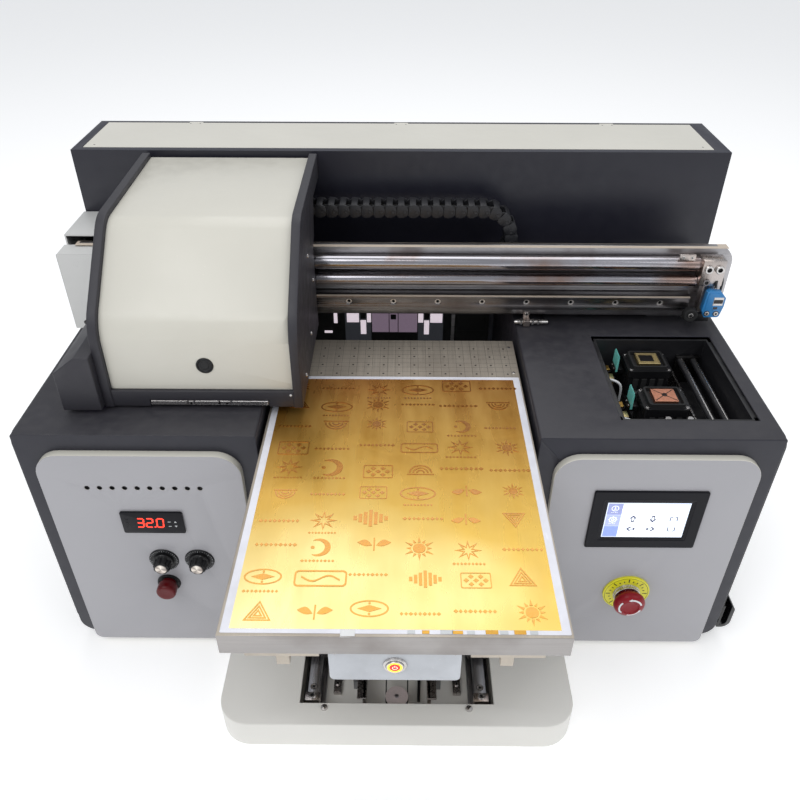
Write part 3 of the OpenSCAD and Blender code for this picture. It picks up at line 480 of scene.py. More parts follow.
def roundedBox(x0, x1, y0, y1, radii, steps=8):
    if isinstance(radii, (int, float)):
        radii = [radii] * 4
    out = []
    for k, (cx, cy, sx, sy) in enumerate(((x0, y0, 1, 1), (x1, y0, -1, 1), (x1, y1, -1, -1),
            (x0, y1, 1, -1))):
        r = radii[k]
        if r <= 0:
            out.append((cx, cy))
            continue
        for i in range(steps + 1):
            t = math.radians(180 + 90 * k + 90 * i / steps)
            out.append((cx + sx * r + r * math.cos(t), cy + sy * r + r * math.sin(t)))
    return out


# cap screw: chamfered head standing on a face, with a hexagon socket in it in a dark material, painted shade in the
# socket
def capScrew(bm, at, axis, r, h, mat=0, dark=1, turn=0.0):
    spun(bm, at, axis, [(r, 0), (r, h * 0.82), (r * 0.9, h), (r * 0.55, h)], 28, mat)
    spun(bm, at, axis, [(r * 0.55, h), (r * 0.5, h - 0.15), (r * 0.46, h * 0.35), (0, h * 0.3)], 6,
        dark, turn)


# pan head with a cross slot, drawn as a flat dark cross on top, painted shade for the slot
def crossScrew(bm, at, axis, r, h, mat=0, dark=1, turn=0.4):
    spun(bm, at, axis, [(r, 0), (r * 0.98, h * 0.35), (r * 0.82, h * 0.8), (r * 0.5, h), (0, h)], 28,
        mat)
    u, v, w = frameOf(axis)
    for t in (turn, turn + math.pi / 2):
        d = u * math.cos(t) + v * math.sin(t)
        s = w.cross(d)
        c = Vector(at) + w * (h + 0.03)
        corners = [c + d * (r * 0.55) * i + s * (r * 0.11) * j for i,
            j in ((-1, -1), (1, -1), (1, 1), (-1, 1))]
        bm.faces.new([bm.verts.new(p) for p in corners]).material_index = dark


def piece(name, bm, mats, body, stands=(), sharp=32, fix=True):
    if fix:
        bmesh.ops.recalc_face_normals(bm, faces=bm.faces)
    for v in bm.verts:
        v.co *= mm
    mesh = bpy.data.meshes.new(name)
    bm.to_mesh(mesh)
    bm.free()
    for f in mesh.polygons:
        f.use_smooth = True
    mesh.set_sharp_from_angle(angle=math.radians(sharp))
    for m in mats:
        mesh.materials.append(m)
    obj = bpy.data.objects.new(name, mesh)
    scene.collection.objects.link(obj)
    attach(obj, body)
    if stands:
        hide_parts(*stands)
    return obj


# copy of a CAD node with its flat faces joined up again and its edges rounded
def softCopy(node, mats, width=1.0, seg=3, angle=28, pick=None, extra=None, name=None, paintBy=None):
    bm = bmesh.new()
    bm.from_mesh(nodes[node].data)
    for v in bm.verts:
        v.co *= 1000
    bmesh.ops.remove_doubles(bm, verts=bm.verts, dist=0.004)
    bmesh.ops.dissolve_limit(bm, angle_limit=math.radians(0.6), verts=bm.verts, edges=bm.edges)
    bm.faces.ensure_lookup_table()
    def corners():
        return [e for e in bm.edges if len(e.link_faces) == 2 and e.calc_face_angle(0) > math.radians(angle)]
    def apply(edges, w, s):
        if edges:
            bmesh.ops.bevel(bm, geom=edges, offset=w, segments=s, profile=0.5, affect="EDGES",
                clamp_overlap=True, loop_slide=True)
    if extra:
        for test, w, s in extra:
            apply([e for e in corners() if test(e.verts[0].co, e.verts[1].co)], w, s)
    if width:
        apply([e for e in corners() if pick is None or pick(e.verts[0].co, e.verts[1].co)], width, seg)
    for f in bm.faces:
        f.material_index = paintBy(f.calc_center_median(), f.normal) if paintBy else 0
    bmesh.ops.recalc_face_normals(bm, faces=bm.faces)
    made = piece(name or node + "Soft", bm, mats, bodyOf[node], [node], fix=False)
    return made


def paintNode(node, *mats):
    mesh = nodes[node].data
    mesh.materials.clear()
    for m in mats:
        mesh.materials.append(m)


# points on a plain mesh, for the node trees that place repeated things
def pointCloud(name, points, scales=None, turns=None):
    mesh = bpy.data.meshes.new(name)
    mesh.from_pydata([tuple(Vector(p) * mm) for p in points], [], [])
    if scales:
        mesh.attributes.new("size", "FLOAT", "POINT").data.foreach_set("value", scales)
    if turns:
        spin = mesh.attributes.new("turn", "FLOAT_VECTOR", "POINT")
        spin.data.foreach_set("vector", [c for t in turns for c in t])
    obj = bpy.data.objects.new(name, mesh)
    scene.collection.objects.link(obj)
    return obj


# node tree: an instance of a small mesh on every point, then made real with its material
def scatter(name, points, source, mats, body, seed=3, jitter=0.0, turns=None, scales=None, stands=(),
        sharp=32):
    host = pointCloud(name, points, scales or [1.0] * len(points), turns or [(0, 0, 0)] * len(points))
    for m in mats:
        host.data.materials.append(m)
    tree = bpy.data.node_groups.new(name + "Tree", "GeometryNodeTree")
    tree.interface.new_socket("Geometry", in_out="INPUT", socket_type="NodeSocketGeometry")
    part = tree.interface.new_socket("Part", in_out="INPUT", socket_type="NodeSocketObject")
    spin = tree.interface.new_socket("Spin Jitter", in_out="INPUT", socket_type="NodeSocketFloat")
    seedIn = tree.interface.new_socket("Seed", in_out="INPUT", socket_type="NodeSocketInt")
    tree.interface.new_socket("Geometry", in_out="OUTPUT", socket_type="NodeSocketGeometry")
    start, end = put(tree, "NodeGroupInput"), put(tree, "NodeGroupOutput")
    info = put(tree, "GeometryNodeObjectInfo", transform_space="ORIGINAL")
    tree.links.new(start.outputs["Part"], info.inputs["Object"])
    place = put(tree, "GeometryNodeInstanceOnPoints")
    size = put(tree, "GeometryNodeInputNamedAttribute", {"Name": "size"}, data_type="FLOAT")
    turn = put(tree, "GeometryNodeInputNamedAttribute", {"Name": "turn"}, data_type="FLOAT_VECTOR")
    chance = put(tree, "FunctionNodeRandomValue", {"Min": (-1, -1, -1), "Max": (1, 1, 1)},
        data_type="FLOAT_VECTOR")
    mul = put(tree, "ShaderNodeVectorMath", operation="SCALE")
    add = put(tree, "ShaderNodeVectorMath", operation="ADD")
    tree.links.new(start.outputs["Seed"], chance.inputs["Seed"])
    tree.links.new(chance.outputs["Value"], mul.inputs[0])
    tree.links.new(start.outputs["Spin Jitter"], mul.inputs["Scale"])
    tree.links.new(turn.outputs["Attribute"], add.inputs[0])
    tree.links.new(mul.outputs[0], add.inputs[1])
    tree.links.new(start.outputs["Geometry"], place.inputs["Points"])
    tree.links.new(info.outputs["Geometry"], place.inputs["Instance"])
    tree.links.new(add.outputs[0], place.inputs["Rotation"])
    tree.links.new(size.outputs["Attribute"], place.inputs["Scale"])
    real = put(tree, "GeometryNodeRealizeInstances")
    tree.links.new(place.outputs["Instances"], real.inputs["Geometry"])
    last = real.outputs["Geometry"]
    if len(mats) == 1:
        dress = put(tree, "GeometryNodeSetMaterial", {"Material": mats[0]})
        tree.links.new(last, dress.inputs["Geometry"])
        last = dress.outputs["Geometry"]
    tree.links.new(last, end.inputs["Geometry"])
    mod = host.modifiers.new("scatter", "NODES")
    mod.node_group = tree
    mod[part.identifier] = source
    mod[spin.identifier] = jitter
    mod[seedIn.identifier] = seed
    graph = bpy.context.evaluated_depsgraph_get()
    mesh = bpy.data.meshes.new_from_object(host.evaluated_get(graph))
    mesh.name = name
    bpy.data.objects.remove(host)
    for f in mesh.polygons:
        f.use_smooth = True
    mesh.set_sharp_from_angle(angle=math.radians(sharp))
    obj = bpy.data.objects.new(name, mesh)
    scene.collection.objects.link(obj)
    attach(obj, body)
    if stands:
        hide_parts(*stands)
    return obj


# small mesh made once at the origin, to be placed by scatter and then removed
def seedPart(name, build, mats):
    bm = bmesh.new()
    build(bm)
    bmesh.ops.recalc_face_normals(bm, faces=bm.faces)
    for v in bm.verts:
        v.co *= mm
    mesh = bpy.data.meshes.new(name)
    bm.to_mesh(mesh)
    bm.free()
    for m in mats:
        mesh.materials.append(m)
    obj = bpy.data.objects.new(name, mesh)
    scene.collection.objects.link(obj)
    return obj


def dropPart(obj):
    bpy.data.objects.remove(obj)


print("mesh and node helpers ready")

# big painted shells
def makeShells():
    rounded = {"width": 1.4, "seg": 3}
    softCopy("tower_left", [paints["charcoal"], paints["frontNavy"]], paintBy=lambda c,
        n: 1 if n.y < -0.6 else 0, **rounded)
    softCopy("tower_right", [paints["charcoal"], paints["frontNavy"]], paintBy=lambda c,
        n: 1 if n.y < -0.6 else 0, **rounded)
    for side in ("panel_left", "panel_right"):
        softCopy(side, [paints["panelGrey"], paints["cream"]], 1.0, 3, paintBy=lambda c,
            n: 1 if n.y > -0.75 else 0)
    softCopy("base_tray", [paints["tray"]], 2.2, 4)
    softCopy("rear_housing", [paints["housing"], paints["frontNavy"]], 1.6, 3, paintBy=lambda c,
        n: 1 if n.y < -0.6 else 0)
    softCopy("lid", [paints["lidCream"]], 1.0, 3)
    softCopy("lamp_housing", [paints["charcoal"]], 2.5, 4)


makeShells()
print("shells rounded")

for mat, names in (
    (paints["black"], "side_panels side_handles cap_deck"),
    (plastics["rubber"], "feet bumper x_belt y_belt"),
    (paints["housing"], "back_panel"),
    (plastics["black"],
     "power_inlet drive_motors screen_bezel temp_controller dial_plates ink_bottles knob_left knob_right cover_plug uv_lamp cap_stations"),
    (metals["plate"], "beam_plate chain_tray head_block"),
    (metals["tube"], "beam_tube"),
    (metals["rod"], "rods"),
    (metals["rail"], "rail slide_blocks"),
    (metals["screw"], "screws proximity_sensor power_button"),
    (metals["block"], "end_blocks"),
    (paints["coverGrey"], "end_cover"),
    (plastics["blue"], "limit_sensor"),
    (metals["steel"], "y_rails lift_screw"),
    (plastics["gloss"], "screen_glass"),
    (plastics["yellow"], "stop_plate sample_sheet"),
    (plastics["red"], "stop_head"),
    (plastics["darkRed"], "red_button"),
    (metals["pulley"], "x_pulley_drive x_pulley_idle y_pulley_front y_pulley_rear"),
    (plastics["chain"], "drag_chain"),
    (paints["charcoal"], "carriage_shell"),
    (paints["cream"], "carriage_cover"),
    (paints["tray"], "saddle"),
    (metals["bed"], "bed_frame vacuum_plate"),
    (plastics["boxWhite"], "power_box"),
    (metals["gilt"], "cap_inserts"),
    (plastics["teal"], "wipers"),
):
    for name in names.split():
        paintNode(name, mat)


def mmBox(node):
    lo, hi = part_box(node)
    return [(lo[i] * 1000, hi[i] * 1000) for i in range(3)]


def band(bm, outer, inner, z0, z1, mat=0):
    n = len(outer)
    rings = [[bm.verts.new((p[0], p[1], z)) for p in line] for line,
        z in ((outer, z0), (outer, z1), (inner, z1), (inner, z0))]
    for a, b in ((0, 1), (1, 2), (2, 3)):
        for i in range(n):
            j = (i + 1) % n
            bm.faces.new((rings[a][i], rings[a][j], rings[b][j], rings[b][i])).material_index = mat


# bed: perforated plate, ribs, the printed sample lying on it
bedSettings = {"holePitch": 20, "linePitch": 10, "holeR": 0.9, "edge": 0.7,
    "foilInset": (7.5, 4.5, 8.0, 6.0), "relief": 0.32}


def foilMaterial():
    mat, tree, shader, coord = startMaterial("goldFoil")
    xyz = put(tree, "ShaderNodeSeparateXYZ")
    tree.links.new(coord, xyz.inputs[0])
    # painted reflection: the foil darkens from front to back, standing in for the dark housing mirrored in it
    along = span(tree, xyz.outputs["Y"], 0, 1, -0.256, 0.138)
    cloud = noiseOf(tree, coord, 5, 3)
    along = math2(tree, "ADD", along, span(tree, cloud, -0.12, 0.12))
    tone = ramp(tree, along, [(0.0, srgb(218, 182, 88)), (0.3, srgb(204, 166, 72)),
        (0.62, srgb(190, 142, 56)), (1.0, srgb(164, 98, 36))])
    # painted highlight: a pale spot towards the front left
    paintedHighlightSpot = put(tree, "ShaderNodeVectorMath", operation="DISTANCE")
    tree.links.new(stretched(tree, coord, (0.7, 1, 0)), paintedHighlightSpot.inputs[0])
    paintedHighlightSpot.inputs[1].default_value = (-0.10, -0.27, 0)
    near = math2(tree, "ADD", paintedHighlightSpot.outputs["Value"], span(tree, cloud, -0.05, 0.05))
    tone = mixColour(tree, span(tree, near, 0.9, 0, 0.02, 0.2), tone, srgb(255, 248, 190))
    streak = noiseOf(tree, stretched(tree, coord, (1, 0.2, 1), (0, 0, 0.5)), 40, 4)
    tone = mixColour(tree, span(tree, streak, 0, 0.3), tone, srgb(232, 200, 120))
    tree.links.new(tone, shader.inputs["Base Color"])
    shader.inputs["Metallic"].default_value = 0.7
    tree.links.new(span(tree, streak, 0.22, 0.34), shader.inputs["Roughness"])
    crease = put(tree, "ShaderNodeTexVoronoi", {"Scale": 9.0, "Randomness": 1.0}, feature="DISTANCE_TO_EDGE")
    tree.links.new(stretched(tree, coord, (1, 0.6, 1)), crease.inputs["Vector"])
    folds = span(tree, crease.outputs["Distance"], 0, 1, 0.0, 0.02)
    soft = bumped(tree, noiseOf(tree, coord, 14, 3), 0.0016, 0.35)
    tree.links.new(bumped(tree, folds, 0.0001, 0.25, soft), shader.inputs["Normal"])
    return mat


def varnishMaterial():
    mat, tree, shader, coord = startMaterial("raisedVarnish")
    xyz = put(tree, "ShaderNodeSeparateXYZ")
    tree.links.new(coord, xyz.inputs[0])
    # painted reflection: the varnish darkens from front to back like the foil under it
    along = span(tree, xyz.outputs["Y"], 0, 1, -0.256, 0.138)
    tone = ramp(tree, along, [(0.0, srgb(200, 142, 44)), (0.5, srgb(180, 112, 34)), (1.0, srgb(150, 76, 26))])
    grain = noiseOf(tree, coord, 900, 2)
    tone = mixColour(tree, span(tree, grain, 0, 0.35), tone, srgb(226, 180, 84))
    tree.links.new(tone, shader.inputs["Base Color"])
    shader.inputs["Metallic"].default_value = 0.7
    tree.links.new(span(tree, grain, 0.14, 0.24), shader.inputs["Roughness"])
    shader.inputs["Coat Weight"].default_value = 0.6
    shader.inputs["Coat Roughness"].default_value = 0.06
    tree.links.new(bumped(tree, grain, 0.00006, 0.5), shader.inputs["Normal"])
    return mat


def makeMotifs():
    h = bedSettings["relief"]
    wave = [(x, 3 * math.sin(x / 4.5)) for x in range(-17, 18)]

    def ellipse(rx, ry, n=48):
        return [(rx * math.cos(2 * math.pi * i / n), ry * math.sin(2 * math.pi * i / n)) for i in range(n)]

    def petals(r, depth, count, n=72):
        return [((r + depth * math.cos(count * t)) * math.cos(t),
            (r + depth * math.cos(count * t)) * math.sin(t))
                for t in (2 * math.pi * i / n for i in range(n))]

    def poly(r, n, turn=0.0):
        return [(r * math.cos(2 * math.pi * i / n + turn),
            r * math.sin(2 * math.pi * i / n + turn)) for i in range(n)]

    def shift(line, dx, dy):
        return [(x + dx, y + dy) for x, y in line]

    def solid(bm, line):
        prism(bm, "Z", line, 0, h)

    def ringOval(bm):
        band(bm, ellipse(21, 11), ellipse(19, 9.3), 0, h)
        solid(bm, [(-13, 0), (0, -4.6), (13, 0), (0, 4.6)])
        solid(bm, shift(poly(1.4, 12), 0, 7))
        solid(bm, shift(poly(1.4, 12), 0, -7))

    def rosette(bm):
        band(bm, ellipse(15, 15), ellipse(13.4, 13.4), 0, h)
        band(bm, petals(8.5, 2.8, 6), petals(6.6, 2.4, 6), 0, h)
        solid(bm, poly(2.6, 20))

    def nest(bm):
        for r in (14, 9.5, 5):
            band(bm, poly(r, 3, math.pi / 2), poly(r - 2.4, 3, math.pi / 2), 0, h)

    def frameWave(bm):
        band(bm, roundedBox(-23, 23, -9, 9, 4, 5), roundedBox(-21.4, 21.4, -7.4, 7.4, 2.6, 5), 0, h)
        solid(bm, [(x, y + 0.9) for x, y in wave] + [(x, y - 0.9) for x, y in reversed(wave)])

    def sun(bm):
        solid(bm, poly(6, 28))
        for k in range(12):
            t = 2 * math.pi * k / 12
            c, s = math.cos(t), math.sin(t)
            tip = 15 if k % 2 else 12
            solid(bm, [(7.5 * c - 1.5 * s, 7.5 * s + 1.5 * c), (7.5 * c + 1.5 * s, 7.5 * s - 1.5 * c),
                (tip * c, tip * s)])

    def leaves(bm):
        for side in (-1, 1):
            line = [(side * (2 + 15 * t),
                7 * math.sin(math.pi * t) * (1 - 0.4 * t) - 2 + 4 * t) for t in (i / 12 for i in range(13))]
            back = [(side * (2 + 15 * t),
                -2.6 * math.sin(math.pi * t) - 2 + 4 * t) for t in (i / 12 for i in range(12, 0, -1))]
            solid(bm, line + back[:-1])
        solid(bm, [(-0.8, -9), (0.8, -9), (0.8, 8), (-0.8, 8)])

    def lozenges(bm):
        for k in range(9):
            w = 1.9 if k % 3 else 2.5
            solid(bm, [((k - 4) * 5 - w, 0), ((k - 4) * 5, -2.4), ((k - 4) * 5 + w, 0), ((k - 4) * 5, 2.4)])

    def steps(bm):
        for k, tall in enumerate((3, 6, 9, 12, 9, 6, 3)):
            solid(bm, [((k - 3) * 5.4 - 1.9, -tall), ((k - 3) * 5.4 + 1.9, -tall),
                ((k - 3) * 5.4 + 1.9, tall), ((k - 3) * 5.4 - 1.9, tall)])

    def moon(bm):
        outer = [(13 * math.cos(t),
            13 * math.sin(t)) for t in (math.radians(60 + 240 * i / 24) for i in range(25))]
        inner = [(4 + 10.5 * math.cos(t),
            10.5 * math.sin(t)) for t in (math.radians(288 - 216 * i / 24) for i in range(25))]
        solid(bm, outer + inner)
        solid(bm, shift(poly(2.2, 16), 7, 0))

    def lattice(bm):
        for i in range(-2, 3):
            for j in (-1, 0, 1):
                if (i + j) % 2 == 0:
                    solid(bm, shift(poly(3.1, 4), i * 5.4, j * 5.4))
        band(bm, roundedBox(-17, 17, -11, 11, 2, 3), roundedBox(-15.8, 15.8, -9.8, 9.8, 1.2, 3), 0, h)

    def star(bm):
        pts = [((14 if i % 2 == 0 else 5.4) * math.cos(math.pi * i / 8),
            (14 if i % 2 == 0 else 5.4) * math.sin(math.pi * i / 8)) for i in range(16)]
        ins = [((9.6 if i % 2 == 0 else 3.4) * math.cos(math.pi * i / 8),
            (9.6 if i % 2 == 0 else 3.4) * math.sin(math.pi * i / 8)) for i in range(16)]
        band(bm, pts, ins, 0, h)

    def shell(bm):
        for r in (5, 9, 13):
            line = [(r * math.cos(t), r * math.sin(t) - 5) for t in (math.pi * i / 20 for i in range(21))]
            back = [((r - 1.9) * math.cos(t),
                (r - 1.9) * math.sin(t) - 5) for t in (math.pi * i / 20 for i in range(20, -1, -1))]
            solid(bm, line + back)
        solid(bm, [(-15, -8.4), (15, -8.4), (15, -6.8), (-15, -6.8)])

    rng = random.Random(11)
    kinds = [ringOval, rosette, nest, frameWave, sun, leaves, lozenges, steps, moon, lattice, star, shell]
    places = {k: [] for k in kinds}
    (x0, x1), (y0, y1), (_, z1) = mmBox("sample_sheet")
    left, front, right, rear = bedSettings["foilInset"]
    columns, rows = 6, 10
    for j in range(rows):
        order = kinds[:]
        rng.shuffle(order)
        for i in range(columns):
            cx = x0 + left + (x1 - x0 - left - right) * (i + 0.5 + rng.uniform(-0.07, 0.07)) / columns
            cy = y0 + front + (y1 - y0 - front - rear) * (j + 0.5 + rng.uniform(-0.12, 0.12)) / rows
            kind = lozenges if (i + 2 * j) % 5 == 4 else order[i]
            size = rng.uniform(0.82, 1.08)
            places[kind].append(((cx, cy, z1 - 0.02), size, (0, 0, rng.choice((0, math.pi)))))
    spots = [(lozenges, c[0][0], c[0][1] - 17) for kind in (ringOval, rosette, star,
        moon) for c in places[kind] if c[0][1] > y0 + 40]
    for kind, cx, cy in spots:
        places[kind].append(((cx, cy, z1 - 0.02), rng.uniform(0.6, 0.8), (0, 0, 0)))
    varnish = varnishMaterial()
    for kind in kinds:
        if places[kind]:
            seed = seedPart(kind.__name__ + "Seed", kind, [varnish])
            at, sizes, turns = zip(*places[kind])
            scatter("motif" + kind.__name__.capitalize(), list(at), seed, [varnish], "bed", 5, 0.0,
                list(turns), list(sizes))
            dropPart(seed)


def makeBed():
    s = bedSettings
    softCopy("vacuum_plate", [metals["bed"], metals["bedEdge"]], s["edge"], 2,
             pick=lambda a, b: a.z > 326 and max(abs(a.x), abs(b.x)) > 150,
             paintBy=lambda c, n: 1 if n.y < -0.6 or abs(n.x) > 0.6 else 0, name="vacuumPlate")
    # vacuum holes every 20 mm, each a flat black disc in a dark ring as painted shade for its depth, with fine scored
    # lines every 10 mm
    def hole(bm):
        spun(bm, (0, 0, 0), (0, 0, 1), [(s["holeR"] * 1.45, 0), (s["holeR"] * 1.3, 0.03),
            (s["holeR"] * 1.05, 0.03)], 14, 0)
        spun(bm, (0, 0, 0), (0, 0, 1), [(s["holeR"] * 1.05, 0.03), (0, 0.031)], 14, 1)
    spots = [(-140 + s["holePitch"] * i, 146 + s["holePitch"] * j,
        352.0) for i in range(15) for j in range(4)]
    seed = seedPart("holeSeed", hole, [metals["darkScrew"], plastics["black"]])
    scatter("vacuumHoles", spots, seed, [metals["darkScrew"], plastics["black"]], "bed", 3)
    dropPart(seed)
    bm = bmesh.new()
    for k in range(30):
        x = -145 + s["linePitch"] * k
        box(bm, x - 0.11, x + 0.11, 139, 226.2, 351.95, 352.012, 0, 0, 1)
    for k in range(9):
        y = 141 + s["linePitch"] * k
        box(bm, -154, 154, y - 0.11, y + 0.11, 351.95, 352.013, 0, 0, 1)
    for x in (-148, 148):
        for y in (150, 210):
            crossScrew(bm, (x, y, 351.2), (0, 0, 1), 2.6, 1.0, 1, 2, x)
    piece("plateScoring", bm, [metals["darkScrew"], metals["screw"], plastics["black"]], "bed")
    (x0, x1), (y0, y1), (z0, z1) = mmBox("sample_sheet")
    left, front, right, rear = s["foilInset"]
    bm = bmesh.new()
    prism(bm, "Z", roundedBox(x0, x1, y0, y1, 1.0, 4), z0 + 0.02, z1 - 0.14, 0)
    # the backing film is a little wavy where it shows past the foil
    prism(bm, "Z", roundedBox(x0 + left, x1 - right, y0 + front, y1 - rear, 0.6, 4), z1 - 0.14, z1 - 0.02, 1)
    piece("sampleSheet", bm, [filmMaterial(), foilMaterial()], "bed", ["sample_sheet"])
    bm = bmesh.new()
    prism(bm, "Y", [(-48, 340.5), (-35, 339.8), (-34.2, 351.2), (-47.4, 352.1)], -256.0 + 0.02, -255.8, 0)
    box(bm, -47.2, -34.4, -255.9, -249, 352.45, 352.75, 0, 0.1, 1)
    rng = random.Random(4)
    for k in range(9):
        x = 12 + k * 13 + rng.uniform(-2, 2)
        box(bm, x, x + rng.uniform(6, 12), -252.9, -249.2 + rng.uniform(-0.6, 0.8), 352.5, 352.72,
            1 if k % 2 else 2, 0.05, 1)
    piece("tapeAndMargins", bm, [plastics["label"], foilScrap(), plastics["tick"]], "bed")
    softCopy("bed_frame", [metals["bed"]], 0.8, 2)
    softCopy("power_box", [plastics["boxWhite"]], 1.2, 3,
             extra=[(lambda a, b: a.z < 283 and b.z < 283 and abs(a.y - b.y) > 5, 5, 5)])


def filmMaterial():
    return plastic("backingFilm", srgb(226, 226, 234), 0.2, 60, 0.0002, 0.0002, coat=0.3)


def foilScrap():
    return metal("foilScrap", srgb(196, 150, 70), 0.3, "none", 0.3, 300, 0.0001)


makeBed()
makeMotifs()
print("bed and printed sample ready")


# carriage
carriageSettings = {"knee": 20, "shoulder": 12, "edge": 1.3, "plug": (-220, 423.6)}


def makeCarriage():
    s = carriageSettings
    knee = lambda a, b: abs(a.y - b.y) < 0.5 and abs(a.z - b.z) < 0.5 and 440 < a.z < 500 and a.y < 90
    shoulder = lambda a, b: abs(a.y - b.y) < 0.5 and abs(a.z - b.z) < 0.5 and a.z > 540 and 120 < a.y < 180
    softCopy("carriage_shell", [paints["charcoal"]], s["edge"], 3,
        extra=[(knee, s["knee"], 8), (shoulder, s["shoulder"], 5)], name="carriageShell")
    softCopy("carriage_cover", [paints["cream"]], 0.7, 2, extra=[(knee, s["knee"], 8),
        (shoulder, s["shoulder"], 5)],
             pick=lambda a, b: abs(a.x - b.x) > 100 or min(abs(a.x + 332.5), abs(a.x + 121.5)) < 1,
             name="carriageCover")
    softCopy("head_block", [metals["plate"]], 0.5, 2, name="headPlate")
    px, pz = s["plug"]
    tilt = Vector((0, -1, 0.0385)).normalized()
    bm = bmesh.new()
    at = Vector((px, 54.9, pz))
    lathe(bm, at, tilt, [(8.2, -5), (8.2, 0), (10, 0.0), (10, 0.6), (9.4, 1.3), (8.1, 1.5), (7.6, 0.9),
        (7.2, 0.3), (5.2, 0.2), (4.6, 0.6), (0, 0.7)], 40, 0)
    piece("coverPlug", bm, [plastics["black"]], "carriage", ["cover_plug"])
    bm = bmesh.new()
    for z, y in ((403, 160), (386, 92), (450, 214), (500, 180)):
        lathe(bm, (-111.05, y, z), (1, 0, 0), [(2.6, 0), (2.5, 0.9), (1.7, 1.3), (1.5, 0.6), (0, 0.5)], 20, 0)
    for y, z in ((60, 384), (200, 384), (60, 470), (226, 540), (140, 548)):
        lathe(bm, (-343.0 + 0.05, y, z), (-1, 0, 0), [(2.6, 0), (2.5, 0.9), (1.7, 1.3), (1.5, 0.6),
            (0, 0.5)], 20, 0)
    lathe(bm, (-124.5, 50.0, 386), (0, -1, 0), [(1.5, 0), (1.4, 0.5), (0.8, 0.8), (0, 0.8)], 16, 1)
    piece("carriageScrews", bm, [metals["screw"], plastics["white"]], "carriage")
    bm = bmesh.new()
    # the strip under the front edge, with its notches and pins
    for x0, x1 in ((-289, -247), (-245, -239), (-237.5, -210), (-208, -196), (-194, -152)):
        box(bm, x0, x1, 50.4, 51.2, 371.6, 376.6, 0, 0.2, 1)
    for x in (-242, -209, -200):
        rod(bm, (x, 50.9, 374), (x, 49.8, 374), 1.5, 16, 1)
    piece("headPlateStrip", bm, [metals["screw"], metals["darkScrew"]], "carriage")
    bm = bmesh.new()
    # print heads, nozzle plates and ink dampers on the head plate, seen from below and through the gap
    for y in (85, 168):
        box(bm, -190, -135, y, y + 34, 372.8, 430, 0, 1, 2)
        box(bm, -184, -141, y + 5, y + 29, 366.6, 367.2, 1, 0.2, 1)
        for k in range(6):
            x = -186 + k * 9
            box(bm, x, x + 7, y + 4, y + 30, 429, 446, 2, 1.2, 2)
            tubeAlong(bm, curved([(x + 3.5, y + 17, 445), (x + 2, y + 22, 470), (x - 20, 205, 492),
                (x - 30, 226, 500)]), 1.6, 8, 3)
    piece("printHeads", bm, [plastics["black"], metals["gilt"], plastics["hose"], plastics["hose"]],
        "carriage")
    bm = bmesh.new()
    (x0, x1), (y0, y1), (z0, z1) = mmBox("uv_lamp")
    box(bm, x0 + 0.2, x1 - 0.2, y0 + 0.2, y1 - 0.2, z0 + 2, z1, 0, 1, 2)
    box(bm, x0 + 4, x1 - 4, y0 + 8, y1 - 8, z0 + 0.8, z0 + 2.4, 1, 0.4, 1)
    for k in range(22):
        y = y0 + 16 + k * 7.2
        for x in (x0 + 11, x0 + 20, x0 + 29):
            box(bm, x - 1.6, x + 1.6, y - 1.6, y + 1.6, z0 + 0.3, z0 + 1.2, 2, 0.2, 1)
    piece("uvLampUnit", bm, [plastics["black"], metals["plate"],
        glowing("violetChips", srgb(150, 110, 230), 0.5)], "carriage", ["uv_lamp"])
    bm = bmesh.new()
    for k in range(7):
        box(bm, -378 + k * 4.6, -376 + k * 4.6, 218, 229.9, 436, 443.0 - 0.02, 0, 0.3, 1)
    rod(bm, (-372, 120, 440), (-372, 120, 442.9), 3, 20, 1, 0.4)
    piece("lampFins", bm, [plastics["black"], metals["darkScrew"]], "carriage")


makeCarriage()
print("carriage ready")


# front panels: screen, controller, knobs, buttons, vents
controlSettings = {
    "screen": (297, 249), "bezel": (134, 93), "view": (98, 57), "front": -13.0,
    "stop": (297, 117), "controller": (-296, 239.5), "knobs": [(-295, 172), (-250, 172)], "red": (-296, 129),
    "vents": {"x": -363.4, "z": 294, "pitch": 14.7, "r": 3.2, "count": 10},
}


def arrow(bm, cx, cz, size, turn, y, mat):
    line = [(0, 1), (0.75, 0.15), (0.34, 0.15), (0.34, -0.9), (-0.34, -0.9), (-0.34, 0.15), (-0.75, 0.15)]
    c, s = math.cos(turn), math.sin(turn)
    def at(k, shrink):
        out = []
        for p, q in k:
            out.append((cx + size * shrink * (p * c - q * s), cz + size * shrink * (p * s + q * c)))
        return out
    outer, inner = at(line, 1.0), at([(p, q - 0.06) for p, q in line], 0.58)
    n = len(outer)
    a = [bm.verts.new((p, y, q)) for p, q in outer]
    b = [bm.verts.new((p, y, q)) for p, q in inner]
    for i in range(n):
        bm.faces.new((a[i], a[(i + 1) % n], b[(i + 1) % n], b[i])).material_index = mat


def arcStrip(bm, centre, y, r0, r1, start, end, mat, steps=16):
    cx, cz = centre
    a, b = [], []
    for i in range(steps + 1):
        t = math.radians(start + (end - start) * i / steps)
        a.append(bm.verts.new((cx + r0 * math.cos(t), y, cz + r0 * math.sin(t))))
        b.append(bm.verts.new((cx + r1 * math.cos(t), y, cz + r1 * math.sin(t))))
    for i in range(steps):
        bm.faces.new((a[i], a[i + 1], b[i + 1], b[i])).material_index = mat


def flat(bm, x0, x1, z0, z1, y, mat):
    bm.faces.new([bm.verts.new(p) for p in ((x0, y, z0), (x1, y, z0), (x1, y, z1),
        (x0, y, z1))]).material_index = mat


